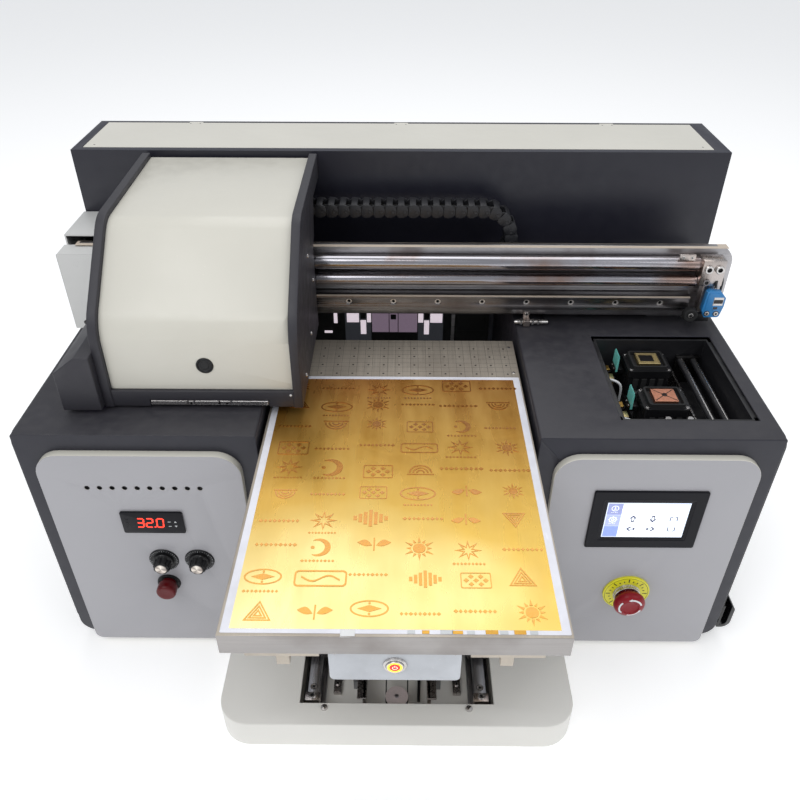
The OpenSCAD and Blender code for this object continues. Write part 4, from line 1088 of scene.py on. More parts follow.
def screenMaterial():
    mat, tree, shader, coord = startMaterial("screenLit")
    xyz = put(tree, "ShaderNodeSeparateXYZ")
    tree.links.new(coord, xyz.inputs[0])
    tone = ramp(tree, span(tree, xyz.outputs["X"], 0, 1, 0.25, 0.346),
        [(0.0, srgb(222, 232, 252)), (0.4, srgb(240, 246, 255)), (1.0, srgb(226, 236, 252))])
    dots = put(tree, "ShaderNodeTexWave", {"Scale": 900.0, "Distortion": 0.0}, bands_direction="Z")
    tree.links.new(coord, dots.inputs["Vector"])
    tone = mixColour(tree, math2(tree, "MULTIPLY", dots.outputs["Fac"], 0.05), tone, srgb(190, 205, 240))
    tree.links.new(tone, shader.inputs["Base Color"])
    tree.links.new(tone, shader.inputs["Emission Color"])
    shader.inputs["Emission Strength"].default_value = 0.62
    shader.inputs["Roughness"].default_value = 0.14
    return mat


def makeScreen():
    s = controlSettings
    cx, cz = s["screen"]
    w, h = s["bezel"]
    vw, vh = s["view"]
    y = s["front"]
    bm = bmesh.new()
    def ring(dx, dz, r):
        return roundedBox(cx - dx, cx + dx, cz - dz, cz + dz, r, 4)
    loops = [(ring(w / 2, h / 2, 2.5), -10.0), (ring(w / 2, h / 2, 2.5), y + 0.7),
        (ring(w / 2 - 0.7, h / 2 - 0.7, 2), y + 0.02),
             (ring(vw / 2 + 5.0, vh / 2 + 5.0, 2), y + 0.02),
             (ring(vw / 2 + 4.4, vh / 2 + 4.4, 1.6), y + 0.5),
             (ring(vw / 2 + 0.9, vh / 2 + 0.9, 0.6), y + 0.7), (ring(vw / 2, vh / 2, 0.3), y + 1.3)]
    rows = [[bm.verts.new((p, at, q)) for p, q in line] for line, at in loops]
    for a, b in zip(rows, rows[1:]):
        for i in range(len(a)):
            bm.faces.new((a[i], a[(i + 1) % len(a)], b[(i + 1) % len(a)], b[i]))
    piece("screenBezel", bm, [plastics["panel"]], "chassis", ["screen_bezel"])
    bm = bmesh.new()
    g = y + 1.2
    box(bm, cx - vw / 2, cx + vw / 2, g, g + 6, cz - vh / 2, cz + vh / 2, 0)
    x0, x1, z0, z1 = cx - vw / 2 + 1, cx + vw / 2 - 1, cz - vh / 2 + 1, cz + vh / 2 - 1
    col = x0 + 17.5
    flat(bm, x0, col, z1 - 18.5, z1, g - 0.04, 1)
    flat(bm, x0, col, z1 - 37, z1 - 18.9, g - 0.04, 2)
    flat(bm, x0, col, z0, z1 - 37.4, g - 0.04, 3)
    flat(bm, col - 0.1, x1, z1 - 0.7, z1, g - 0.05, 3)
    bm.faces.new([bm.verts.new(p) for p in ((col - 0.1, g - 0.05, z1 - 7),
        (col + 2.2, g - 0.05, z1 - 9), (col - 0.1, g - 0.05, z1 - 11))]).material_index = 4
    # gauge and gear signs in the left column
    for k, at in enumerate((z1 - 8.0, z1 - 26.6)):
        arcStrip(bm, (x0 + 8.7, at), g - 0.07, 3.6, 4.4, 0, 360, 4, 28)
        if k == 0:
            flat(bm, x0 + 8.2, x0 + 9.2, at - 0.4, at + 2.8, g - 0.08, 4)
            arcStrip(bm, (x0 + 8.7, at), g - 0.08, 1.3, 2.0, 200, 340, 4, 10)
        else:
            arcStrip(bm, (x0 + 8.7, at), g - 0.08, 1.2, 2.0, 0, 360, 4, 20)
            for i in range(8):
                t = math.radians(45 * i)
                px, pz = x0 + 8.7 + 5.0 * math.cos(t), at + 5.0 * math.sin(t)
                flat(bm, px - 0.45, px + 0.45, pz - 0.45, pz + 0.45, g - 0.08, 4)
        for i, wide in enumerate((1.6, 1.0, 1.8, 1.2)):
            flat(bm, x0 + 4.6 + i * 2.2, x0 + 4.6 + i * 2.2 + wide, at - 7.0, at - 6.4, g - 0.07, 4)
    xs = [col + 15, col + 39, col + 64]
    up, down = cz + 2.5, cz - 14.5
    arrow(bm, xs[0], up, 5.6, 0, g - 0.07, 5)
    arrow(bm, xs[1], up, 5.6, math.pi, g - 0.07, 5)
    arrow(bm, xs[0], down, 5.4, math.pi / 2, g - 0.07, 5)
    arrow(bm, xs[1], down, 5.4, -math.pi / 2, g - 0.07, 5)
    for side in (-1, 1):
        for k, (sz, tall) in enumerate(((up, 3.2), (down, 3.2))):
            x = xs[2] + side * 3.6
            flat(bm, min(x, x + side * 1.1), max(x, x + side * 1.1), sz - tall, sz + tall, g - 0.07, 5)
            e = sz + (tall if k == 0 else -tall)
            flat(bm, min(x - side * 2.4, x), max(x - side * 2.4, x), e - 0.55, e + 0.55, g - 0.07, 5)
    for x in xs:
        for z in (up, down):
            arcStrip(bm, (x, z), g - 0.05, 7.4, 7.7, 0, 360, 6, 36)
    mats = [screenMaterial(), glowing("screenViolet", srgb(150, 158, 206), 0.5),
        glowing("screenLilac", srgb(172, 182, 224), 0.55),
            glowing("screenBlue", srgb(140, 160, 226), 0.55),
            glowing("screenWhite", srgb(245, 248, 255), 0.8),
            glowing("screenInk", srgb(36, 44, 96), 0.05), glowing("screenPale", srgb(200, 212, 240), 0.5)]
    piece("screenGlass", bm, mats, "chassis", ["screen_glass"], fix=False)


def makeStop():
    cx, cz = controlSettings["stop"]
    bm = bmesh.new()
    spun(bm, (cx, -10, cz), (0, -1, 0), [(30, 0), (30, 2.4), (29.4, 2.95), (17.4, 2.95)], 72, 0)
    spun(bm, (cx, -10, cz), (0, -1, 0), [(17.4, 2.9), (17.4, 4.2), (16.9, 4.6), (16.9, 5.2),
        (16.4, 5.4), (16.4, 7.4), (16.9, 7.6), (16.9, 8.4),
                                        (16.2, 8.95), (13.4, 8.95), (13.2, 8.0), (11.3, 8.0),
                                        (11.3, -28), (15, -28), (15, -3), (15, 0)], 64, 1)
    for k in range(40):
        t = 2 * math.pi * k / 40
        x, z = cx + 16.45 * math.cos(t), cz + 16.45 * math.sin(t)
        rod(bm, (x, -15.5, z), (x, -17.3, z), 0.42, 6, 1)
    # ring of plain ticks, long and short, with a thin circle round them on the disc, where a warning would be
    for k in range(24):
        t = 360 * k / 24
        arcStrip(bm, (cx, cz), -13.0 + 0.02, 20.8, 26.6 if k % 3 == 0 else 23.4, t - 1.7, t + 1.7, 2, 2)
    arcStrip(bm, (cx, cz), -13.0 + 0.02, 27.6, 28.1, 0, 360, 2, 72)
    piece("stopPlate", bm, [plastics["yellow"], metals["screw"], plastics["black"]], "chassis",
        ["stop_plate"])
    bm = bmesh.new()
    lathe(bm, (cx, 0, cz), (0, -1, 0), [(0, 7), (11, 7), (11, 24), (16.6, 24.2), (18.6, 25.2),
        (19.7, 27), (19.98, 29.4), (19.7, 31.8), (18.4, 34.2), (16, 35.8),
                                      (12.8, 36.8), (11.4, 37.0), (10.8, 36.5), (10.2, 35.6), (8, 35.0),
                                      (4, 34.7), (0, 34.6)], 72, 0)
    # three turning arrows round the top, in white
    for k in range(3):
        start = 20 + 120 * k
        pts0, pts1 = [], []
        for i in range(13):
            t = math.radians(start + 70 * i / 12)
            pts0.append(bm.verts.new((cx + 13.0 * math.cos(t), -36.82, cz + 13.0 * math.sin(t))))
            pts1.append(bm.verts.new((cx + 15.2 * math.cos(t), -36.2, cz + 15.2 * math.sin(t))))
        for i in range(12):
            bm.faces.new((pts0[i], pts0[i + 1], pts1[i + 1], pts1[i])).material_index = 1
        t0, t1 = math.radians(start + 69), math.radians(start + 88)
        tri = [(12.1, t0, -37.06), (16.2, t0, -35.86), (14.0, t1, -36.6)]
        bm.faces.new([bm.verts.new((cx + r * math.cos(t), y, cz + r * math.sin(t))) for r, t,
            y in tri]).material_index = 1
    piece("stopHead", bm, [plastics["red"], plastics["white"]], "stop_head", ["stop_head"])


def digits(bm, text, x, z, w, h, y, mat):
    marks = {"3": "abgcd", "2": "abged", "0": "abcdef"}
    t = h * 0.13
    for ch in text:
        if ch == ".":
            flat(bm, x - w * 0.3, x - w * 0.3 + t * 1.1, z - h / 2 - t * 0.4, z - h / 2 + t * 0.7, y, mat)
            x += w * 0.22
            continue
        for m in marks[ch]:
            lean = 0.09 * h
            def quad(ax, az, bx, bz, horizontal):
                ex = t / 2
                if horizontal:
                    pts = [(ax + ex * 0.4, az), (ax + ex, az + ex), (bx - ex, bz + ex),
                        (bx - ex * 0.4, bz), (bx - ex, bz - ex), (ax + ex, az - ex)]
                else:
                    pts = [(ax, az - ex * 0.4), (ax + ex, az - ex), (bx + ex, bz + ex),
                        (bx, bz + ex * 0.4), (bx - ex, bz + ex), (ax - ex, az - ex)]
                bm.faces.new([bm.verts.new((p + lean * (q - z) / h, y, q)) for p,
                    q in pts]).material_index = mat
            top, mid, low = z + h / 2, z, z - h / 2
            {"a": lambda: quad(x, top, x + w, top, True), "g": lambda: quad(x, mid, x + w, mid, True),
                "d": lambda: quad(x, low, x + w, low, True),
             "f": lambda: quad(x, top, x, mid, False), "b": lambda: quad(x + w, top, x + w, mid, False),
             "e": lambda: quad(x, mid, x, low, False), "c": lambda: quad(x + w, mid, x + w, low, False)}[m]()
        x += w * 1.42


def makeController():
    cx, cz = controlSettings["controller"]
    bm = bmesh.new()
    prism(bm, "Y", roundedBox(cx - 37.5, cx + 37.5, cz - 17.25, cz + 17.25, 2.2, 4), -12.96, -10.0, 0, 0.6, 2)
    box(bm, cx - 34.4, cx + 34.4, -10, 50, cz - 14.2, cz + 14.2, 0)
    prism(bm, "Y", roundedBox(cx - 33.4, cx + 33.4, cz - 13.8, cz + 13.8, 1.2, 3), -13.0 + 0.005, -12.9, 1)
    digits(bm, "32.0", cx - 18.6, cz + 0.4, 7.8, 14.2, -13.0 + 0.002, 2)
    for k, x in enumerate((cx + 21, cx + 21)):
        z = cz + (2.2 if k == 0 else -5.2)
        s = 1 if k == 0 else -1
        bm.faces.new([bm.verts.new(p) for p in ((x + 5, -12.999, z - s * 1.3),
            (x + 8.4, -12.999, z - s * 1.3), (x + 6.7, -12.999, z + s * 1.5))]).material_index = 3
        flat(bm, x - 2.4, x + 1.2, z - 0.5, z + 0.5, -12.999, 3)
    for k in range(3):
        flat(bm, cx - 31.8, cx - 28.8, cz + 6 - k * 5, cz + 6.7 - k * 5, -12.999, 3)
    piece("temperatureController", bm, [plastics["panel"], plastics["panel"],
        glowing("redDigits", srgb(255, 52, 26), 1.7), plastics["tick"]],
          "chassis", ["temp_controller"])


def makeKnobs():
    s = controlSettings
    bm = bmesh.new()
    for cx, cz in s["knobs"]:
        spun(bm, (cx, -10, cz), (0, -1, 0), [(18.5, 0), (18.4, 1.2), (17.7, 1.9), (14.6, 1.98),
            (3.1, 1.98), (3.05, -21), (11, -21), (11, -9)], 64, 0)
        for k in range(31):
            t = 240 - 300 * k / 30
            arcStrip(bm, (cx, cz), -12.0 - 0.002, 15.0 if k % 5 == 0 else 16.2, 17.4, t - 0.9, t + 0.9, 1, 1)
    cx, cz = s["red"]
    spun(bm, (cx, -10, cz), (0, -1, 0), [(14.8, 0), (14.8, 1.8), (14.1, 2.95), (12.9, 2.95),
        (12.6, 1.0), (9.05, 1.0), (9.05, -29), (10, -29), (10, -3)], 56, 0)
    piece("dialPlates", bm, [plastics["black"], plastics["tick"]], "chassis", ["dial_plates"])
    for name, node, (cx, cz), turn in (("knobLeft", "knob_left", s["knobs"][0], 0.5),
            ("knobRight", "knob_right", s["knobs"][1], 0.1)):
        bm = bmesh.new()
        n = 96
        def rim(r, depth, y):
            return [(cx + (r - depth * (0.5 + 0.5 * math.cos(8 * t + turn)) ** 3) * math.cos(t),
                     y, cz + (r - depth * (0.5 + 0.5 * math.cos(8 * t + turn)) ** 3) * math.sin(t))
                    for t in (2 * math.pi * i / n for i in range(n))]
        rows = [rim(13, 0, -12.35), rim(13, 0, -14.4), rim(12.2, 0, -15.4), rim(11.4, 0.2, -15.6),
            rim(11.0, 1.6, -16.6), rim(10.4, 1.7, -24.6), rim(9.8, 1.2, -25.6), rim(8.9, 0.2, -25.9)]
        verts = [[bm.verts.new(p) for p in row] for row in rows]
        for a, b in zip(verts, verts[1:]):
            for i in range(n):
                bm.faces.new((a[i], a[(i + 1) % n], b[(i + 1) % n], b[i]))
        bm.faces.new(verts[0])
        spun(bm, (cx, 0, cz), (0, -1, 0), [(8.9, 25.8), (8.2, 26.5), (7.6, 26.6), (7.3, 26.3)], 48, 0)
        spun(bm, (cx, 0, cz), (0, -1, 0), [(7.3, 26.3), (7.0, 27.0), (6.6, 27.2), (0, 27.25)], 48, 1)
        t = turn + 1.2
        d, e = Vector((math.cos(t), 0, math.sin(t))), Vector((-math.sin(t), 0, math.cos(t)))
        c = Vector((cx, -14.0, cz))
        line = [c + d * 11.4 - e * 0.5, c + d * 12.7 - e * 0.5, c + d * 12.7 + e * 0.5,
            c + d * 11.4 + e * 0.5]
        bm.faces.new([bm.verts.new(p + Vector((0, -1.15, 0))) for p in line]).material_index = 2
        rod(bm, (cx, -12.4, cz), (cx, 5, cz), 3.0, 24, 1)
        piece(name, bm, [plastics["black"], turnedCap(cx, cz), plastics["tick"]], bodyOf[node], [node])
    cx, cz = s["red"]
    bm = bmesh.new()
    lathe(bm, (cx, 0, cz), (0, -1, 0), [(9, -6), (9, 16.9), (12.2, 17), (12.5, 17.6), (12.5, 26.6),
        (12.1, 28.2), (11.0, 29.4), (9.4, 29.9), (6.2, 29.6), (0, 29.3)], 56, 0)
    piece("redButton", bm, [plastics["darkRed"]], "red_button", ["red_button"])


# spun aluminium cap with rings round its own centre, and a painted reflection in bright and dark sectors
def turnedCap(cx, cz):
    mat, tree, shader, coord = startMaterial("turnedCap")
    shift = put(tree, "ShaderNodeMapping", {"Location": (-cx * mm, 0, -cz * mm)})
    tree.links.new(coord, shift.inputs["Vector"])
    wave = put(tree, "ShaderNodeTexWave", {"Scale": 420.0, "Distortion": 0.6, "Detail": 2.0},
        wave_type="RINGS", rings_direction="Y")
    tree.links.new(shift.outputs["Vector"], wave.inputs["Vector"])
    spoke = put(tree, "ShaderNodeTexGradient", gradient_type="RADIAL")
    turned = put(tree, "ShaderNodeMapping", {"Rotation": (math.pi / 2, 0, 0)})
    tree.links.new(shift.outputs["Vector"], turned.inputs["Vector"])
    tree.links.new(turned.outputs["Vector"], spoke.inputs["Vector"])
    # painted reflection: bright and dark sectors round the centre, the fan of sheen on turned metal
    fan = ramp(tree, spoke.outputs["Fac"], [(0.0, srgb(236, 226, 214)), (0.12, srgb(150, 140, 134)),
        (0.25, srgb(240, 232, 222)), (0.5, srgb(140, 130, 126)), (0.62, srgb(238, 228, 216)),
        (0.85, srgb(150, 140, 134)), (1.0, srgb(236, 226, 214))])
    tree.links.new(fan, shader.inputs["Base Color"])
    shader.inputs["Metallic"].default_value = 1.0
    tree.links.new(span(tree, wave.outputs["Fac"], 0.18, 0.34, 0, 1), shader.inputs["Roughness"])
    tree.links.new(bumped(tree, wave.outputs["Fac"], 0.00004, 0.6), shader.inputs["Normal"])
    return mat


def makeVents():
    v = controlSettings["vents"]
    bm = bmesh.new()
    for k in range(v["count"]):
        x = v["x"] + k * v["pitch"]
        spun(bm, (x, -10.02, v["z"]), (0, 1, 0), [(3.0, 0.3), (2.6, 0.3), (2.5, 2.4), (0, 2.4)], 24, 0)
    piece("ventInserts", bm, [plastics["black"]], "chassis")


makeScreen()
makeStop()
makeController()
makeKnobs()
makeVents()
print("controls ready")


# cross beam: rods, rail screws, end blocks, sensors
beamSettings = {"railScrews": [-368.5 + 60 * k for k in range(13)], "railZ": 402,
    "rods": [(458, 9.5), (434, 8.0)]}


def makeBeam():
    s = beamSettings
    softCopy("beam_plate", [metals["plate"]], 0.8, 2, name="beamPlate")
    bm = bmesh.new()
    for z, r in s["rods"]:
        rod(bm, (-393, 250, z), (393, 250, z), r, 64, 0, 0.6)
    # painted highlight: pale strips along the top edges of the plate and of the rail
    box(bm, -426, 430, 256.3, 269.7, 477 - 0.4, 477 - 0.02, 1, 0.1, 1)
    box(bm, -389, 389, 239.6, 250, 413 - 0.3, 413 - 0.03, 1, 0.1, 1)
    piece("polishedRods", bm, [metals["rod"], metals["paintedHighlightEdge"]], "chassis", ["rods"])
    softCopy("rail", [metals["rail"]], 0.9, 2, name="linearRail")
    bm = bmesh.new()
    # groove lines where the balls run, along the top and bottom of the rail
    for z in (391.0 + 0.02, 413.0 - 0.62):
        box(bm, -388, 388, 244.6, 250.5, z, z + 0.6, 0, 0.1, 1)
    piece("railGrooves", bm, [metals["darkScrew"]], "chassis")
    bm = bmesh.new()
    rng = random.Random(8)
    for x in s["railScrews"]:
        turn = rng.uniform(0, 1)
        # each socket is black: painted shade in it
        spun(bm, (x, 250, s["railZ"]), (0, -1, 0), [(4.6, 0), (4.6, 2.9), (4.1, 3.45), (2.2, 3.45)],
            28, 3)
        spun(bm, (x, 250, s["railZ"]), (0, -1, 0), [(2.2, 3.4), (2.1, 1.2), (0, 1.1)], 6, 1, turn)
    for x in (401, 415):
        capScrew(bm, (x, 235, 457.5), (0, -1, 0), 5.8, 3.4, 0, 1, x)
    capScrew(bm, (402, 235, 438.5), (0, -1, 0), 4.6, 1.6, 2, 1, 0.3)
    for x in (-89, 89):
        crossScrew(bm, (x, -134, 45), (0, 0, 1), 4.4, 3.0, 0, 1, x * 0.1)
    piece("machineScrews", bm, [metals["screw"], plastics["black"], metals["rail"],
        metals["brightScrew"]], "chassis", ["screws"])
    bm = bmesh.new()
    for side in (1, -1):
        x0, x1 = (393, 423) if side > 0 else (-423, -393)
        box(bm, x0, x1, 235, 255.98, 433, 469, 0, 0.7, 2)
        lo, hi = (403, 421) if side > 0 else (-421, -403)
        box(bm, lo, hi, 243, 255.98, 377.02, 433.3, 0, 0.6, 2)
        box(bm, lo - side * 6, hi - side * 2, 236.5, 246, 379, 390.5, 2, 0.8, 2)
    # small clamp in front of the rod, with two screws
    box(bm, 362, 383, 240.6, 245, 466.8, 475, 0, 0.5, 2)
    for x in (367, 378):
        capScrew(bm, (x, 240.65, 471), (0, -1, 0), 1.9, 0.8, 1, 2, x)
    rod(bm, (408, 235.4, 458), (408, 235.0 - 0.02, 458), 0.8, 12, 2)
    piece("endBlocks", bm, [metals["block"], metals["screw"], plastics["black"]], "chassis",
        ["end_blocks"])


def makeSensors():
    bm = bmesh.new()
    # slotted sensor on the right end block
    outline = [(407, 391), (425, 391), (427, 393), (430, 408), (430, 420), (422, 429), (408, 430.5),
        (404, 428), (402, 402)]
    prism(bm, "Y", outline, 226.2, 235, 0, 0.8, 2)
    prism(bm, "Y", [(405, 402), (428.5, 405), (429, 419), (421, 427.5), (407, 428)], 225.3, 226.8, 0, 0.7, 2)
    box(bm, 414, 427, 225.05, 225.6, 409.5, 421.5, 1, 0.2, 1)
    box(bm, 414.6, 426.4, 225.0 + 0.005, 225.3, 412.6, 418.2, 3, 0, 1)
    box(bm, 415.5, 421.5, 225.1, 225.8, 403.8, 407.5, 2, 0.3, 1)
    for x in (409.5, 421.5):
        capScrew(bm, (x, 226.3, 397), (0, -1, 0), 3.0, 1.2, 1, 2, x)
        spun(bm, (x, 226.4, 397), (0, -1, 0), [(4.0, 0), (4.0, 0.4), (3.2, 0.4)], 24, 2)
    tubeAlong(bm, curved([(415, 232, 432), (416, 236, 440), (424, 246, 442), (432, 254, 430),
        (433, 258, 400), (430, 262, 378)]), 1.7, 10, 4)
    piece("limitSensor", bm, [plastics["blue"], metals["screw"], plastics["gloss"], metals["darkScrew"],
        plastics["hose"]], "chassis", ["limit_sensor"])
    bm = bmesh.new()
    # threaded proximity sensor with two nuts on an angled bracket
    y, z = 247.0, 370.5
    pts = [(2.6, 0)]
    for k in range(34):
        pts += [(3.15, 4 + k * 1.0), (3.5, 4.5 + k * 1.0)]
    pts += [(3.15, 38.5), (3.15, 44), (2.4, 46)]
    lathe(bm, (158, y, z), (1, 0, 0), [(0, 0)] + pts + [(0, 46)], 24, 0)
    for x, w in ((165.5, 3.2), (181.4, 3.2), (189, 3.0)):
        spun(bm, (x, y, z), (1, 0, 0), [(3.4, 0), (4.55, 0.4), (4.55, w - 0.4), (3.4, w)], 6, 0, 0.4)
    spun(bm, (157.99 + 0.03, y, z), (1, 0, 0), [(0, -0.01), (2.4, 0.0), (2.5, 1.0)], 20, 2)
    prism(bm, "Z", roundedBox(170, 179, 241.5, 256, 1.2, 3), 366.0 + 0.02, 374.6, 1, 0.3, 1)
    box(bm, 170.3, 178.7, 252.6, 255.9, 373, 383, 1, 0.4, 1)
    capScrew(bm, (174.5, 252.6, 379.4), (0, -1, 0), 2.6, 1.6, 0, 4, 0.4)
    tubeAlong(bm, curved([(203, y, z), (203.5, y + 3, z - 1), (203, 254, 368), (200, 262, 367.6),
        (190, 300, 367.4)]), 1.5, 10, 3)
    piece("proximitySensor", bm, [metals["screw"], metals["block"],
        glowing("sensorLamp", srgb(255, 40, 40), 2.5), plastics["hose"], plastics["black"]],
          "chassis", ["proximity_sensor"])
    bm = bmesh.new()
    lathe(bm, (389.5, 235, 393), (0, -1, 0), [(9.4, 0), (9.5, 1), (9.5, 7.4), (8.6, 8.8), (6.4, 9.0),
        (4.8, 8.6), (4.6, 7.6), (0, 7.5)], 48, 0)
    capScrew(bm, (389.5, 227.5, 393), (0, -1, 0), 3.4, 1.3, 1, 0, 0.2)
    tubeAlong(bm, curved([(384, 233, 389), (379.8 + 1.2, 234, 386.8), (381.4, 238, 385),
        (386, 245, 385.2)]), 1.3, 8, 0)
    piece("travelStop", bm, [plastics["rubber"], metals["screw"]], "chassis", ["bumper"])


def makeEndCover():
    (x0, _), _, (z0, _) = mmBox("end_cover")
    softCopy("end_cover", [paints["coverGrey"]], 1.6, 4, extra=[(lambda a,
        b: a.x < x0 + 1 and b.x < x0 + 1 and abs(a.z - b.z) < 0.5 and a.z > z0 + 60, 7, 6)], name="endCover")
    bm = bmesh.new()
    for x, z in ((-420, 462), (-424, 403)):
        spun(bm, (x, 233 - 0.02, z), (0, 1, 0), [(3.9, 0), (3.7, 1.0), (3.2, 1.2), (0, 1.2)], 28, 0)
    spun(bm, (-412, 233.3, 436), (0, -1, 0), [(4.2, 0.0), (4.2, 0.1), (3.4, 0.25), (0, 0.28)], 28, 1)
    piece("coverHoles", bm, [plastics["gloss"], metals["screw"]], "chassis")


makeBeam()
makeSensors()
makeEndCover()
print("beam ready")


# drag chain: one link shape placed along its run
chainSettings = {"low": 434, "top": 510, "y": 292, "width": 30, "thick": 18, "bend": 112, "start": -331,
    "pitch": 15.4}


def chainRun():
    s = chainSettings
    r = (s["top"] - s["low"]) / 2
    straightLow = s["bend"] - s["start"]
    arc = math.pi * r
    total = 2 * straightLow + arc
    n = int(total / s["pitch"])
    out = []
    for k in range(n):
        d = (k + 0.5) * total / n
        if d < straightLow:
            out.append((s["start"] + d, s["low"], 0.0))
        elif d < straightLow + arc:
            t = (d - straightLow) / r
            out.append((s["bend"] + r * math.sin(t), s["low"] + r - r * math.cos(t), -t))
        else:
            out.append((s["bend"] - (d - straightLow - arc), s["top"], -math.pi))
    return out


def makeChain():
    s = chainSettings
    w, h = s["width"], s["thick"]
    def link(bm):
        for y in (0.6, w - 3.4):
            prism(bm, "Y", roundedBox(-9.3, 5.4, -h / 2 + 0.4, h / 2 - 0.4, [7, 3, 3, 7], 5), y - w / 2,
                y - w / 2 + 2.8, 0, 0.5, 2)
            prism(bm, "Y", roundedBox(-1.0, 9.0, -h / 2 + 1.4, h / 2 - 1.4, [3, 6, 6, 3], 5),
                y - w / 2 + (2.6 if y < w / 2 else -1.4), y - w / 2 + (4.0 if y < w / 2 else 0.2), 0, 0.3, 1)
        for z in (-h / 2 + 0.3, h / 2 - 2.3):
            box(bm, -4.2, 4.2, -w / 2 + 1.6, w / 2 - 1.6, z, z + 2.0, 0, 0.5, 2)
        for side in (-1, 1):
            spun(bm, (-5.2, side * (w / 2 - 0.45), 0), (0, side, 0),
                [(2.6, -0.6), (2.6, 0.35), (2.0, 0.4), (1.6, 0.1), (0, 0.1)], 20, 0)
    run = chainRun()
    seed = seedPart("linkSeed", link, [plastics["chain"]])
    points = [(x, s["y"] + w / 2, z) for x, z, t in run]
    turns = [(0, t, 0) for x, z, t in run]
    scatter("dragChain", points, seed, [plastics["chain"]], "chain", 2, 0.0, turns, None,
        ["drag_chain"])
    dropPart(seed)
    bm = bmesh.new()
    for k, y in enumerate((300, 306, 312)):
        path = [(x, y, z) for x, z, t in chainRun()]
        tubeAlong(bm, path, 2.3 if k == 1 else 1.9, 8, k)
    piece("chainHoses", bm, [plastics["hose"], plastics["black"], plastics["rubber"]], "chain")
    softCopy("chain_tray", [metals["plate"]], 0.5, 2)


makeChain()
print("drag chain ready")


# base: rails in the tray, saddle, lift, power box
baseSettings = {"railX": 106, "railTop": 33, "railPitch": 60, "front": -115}


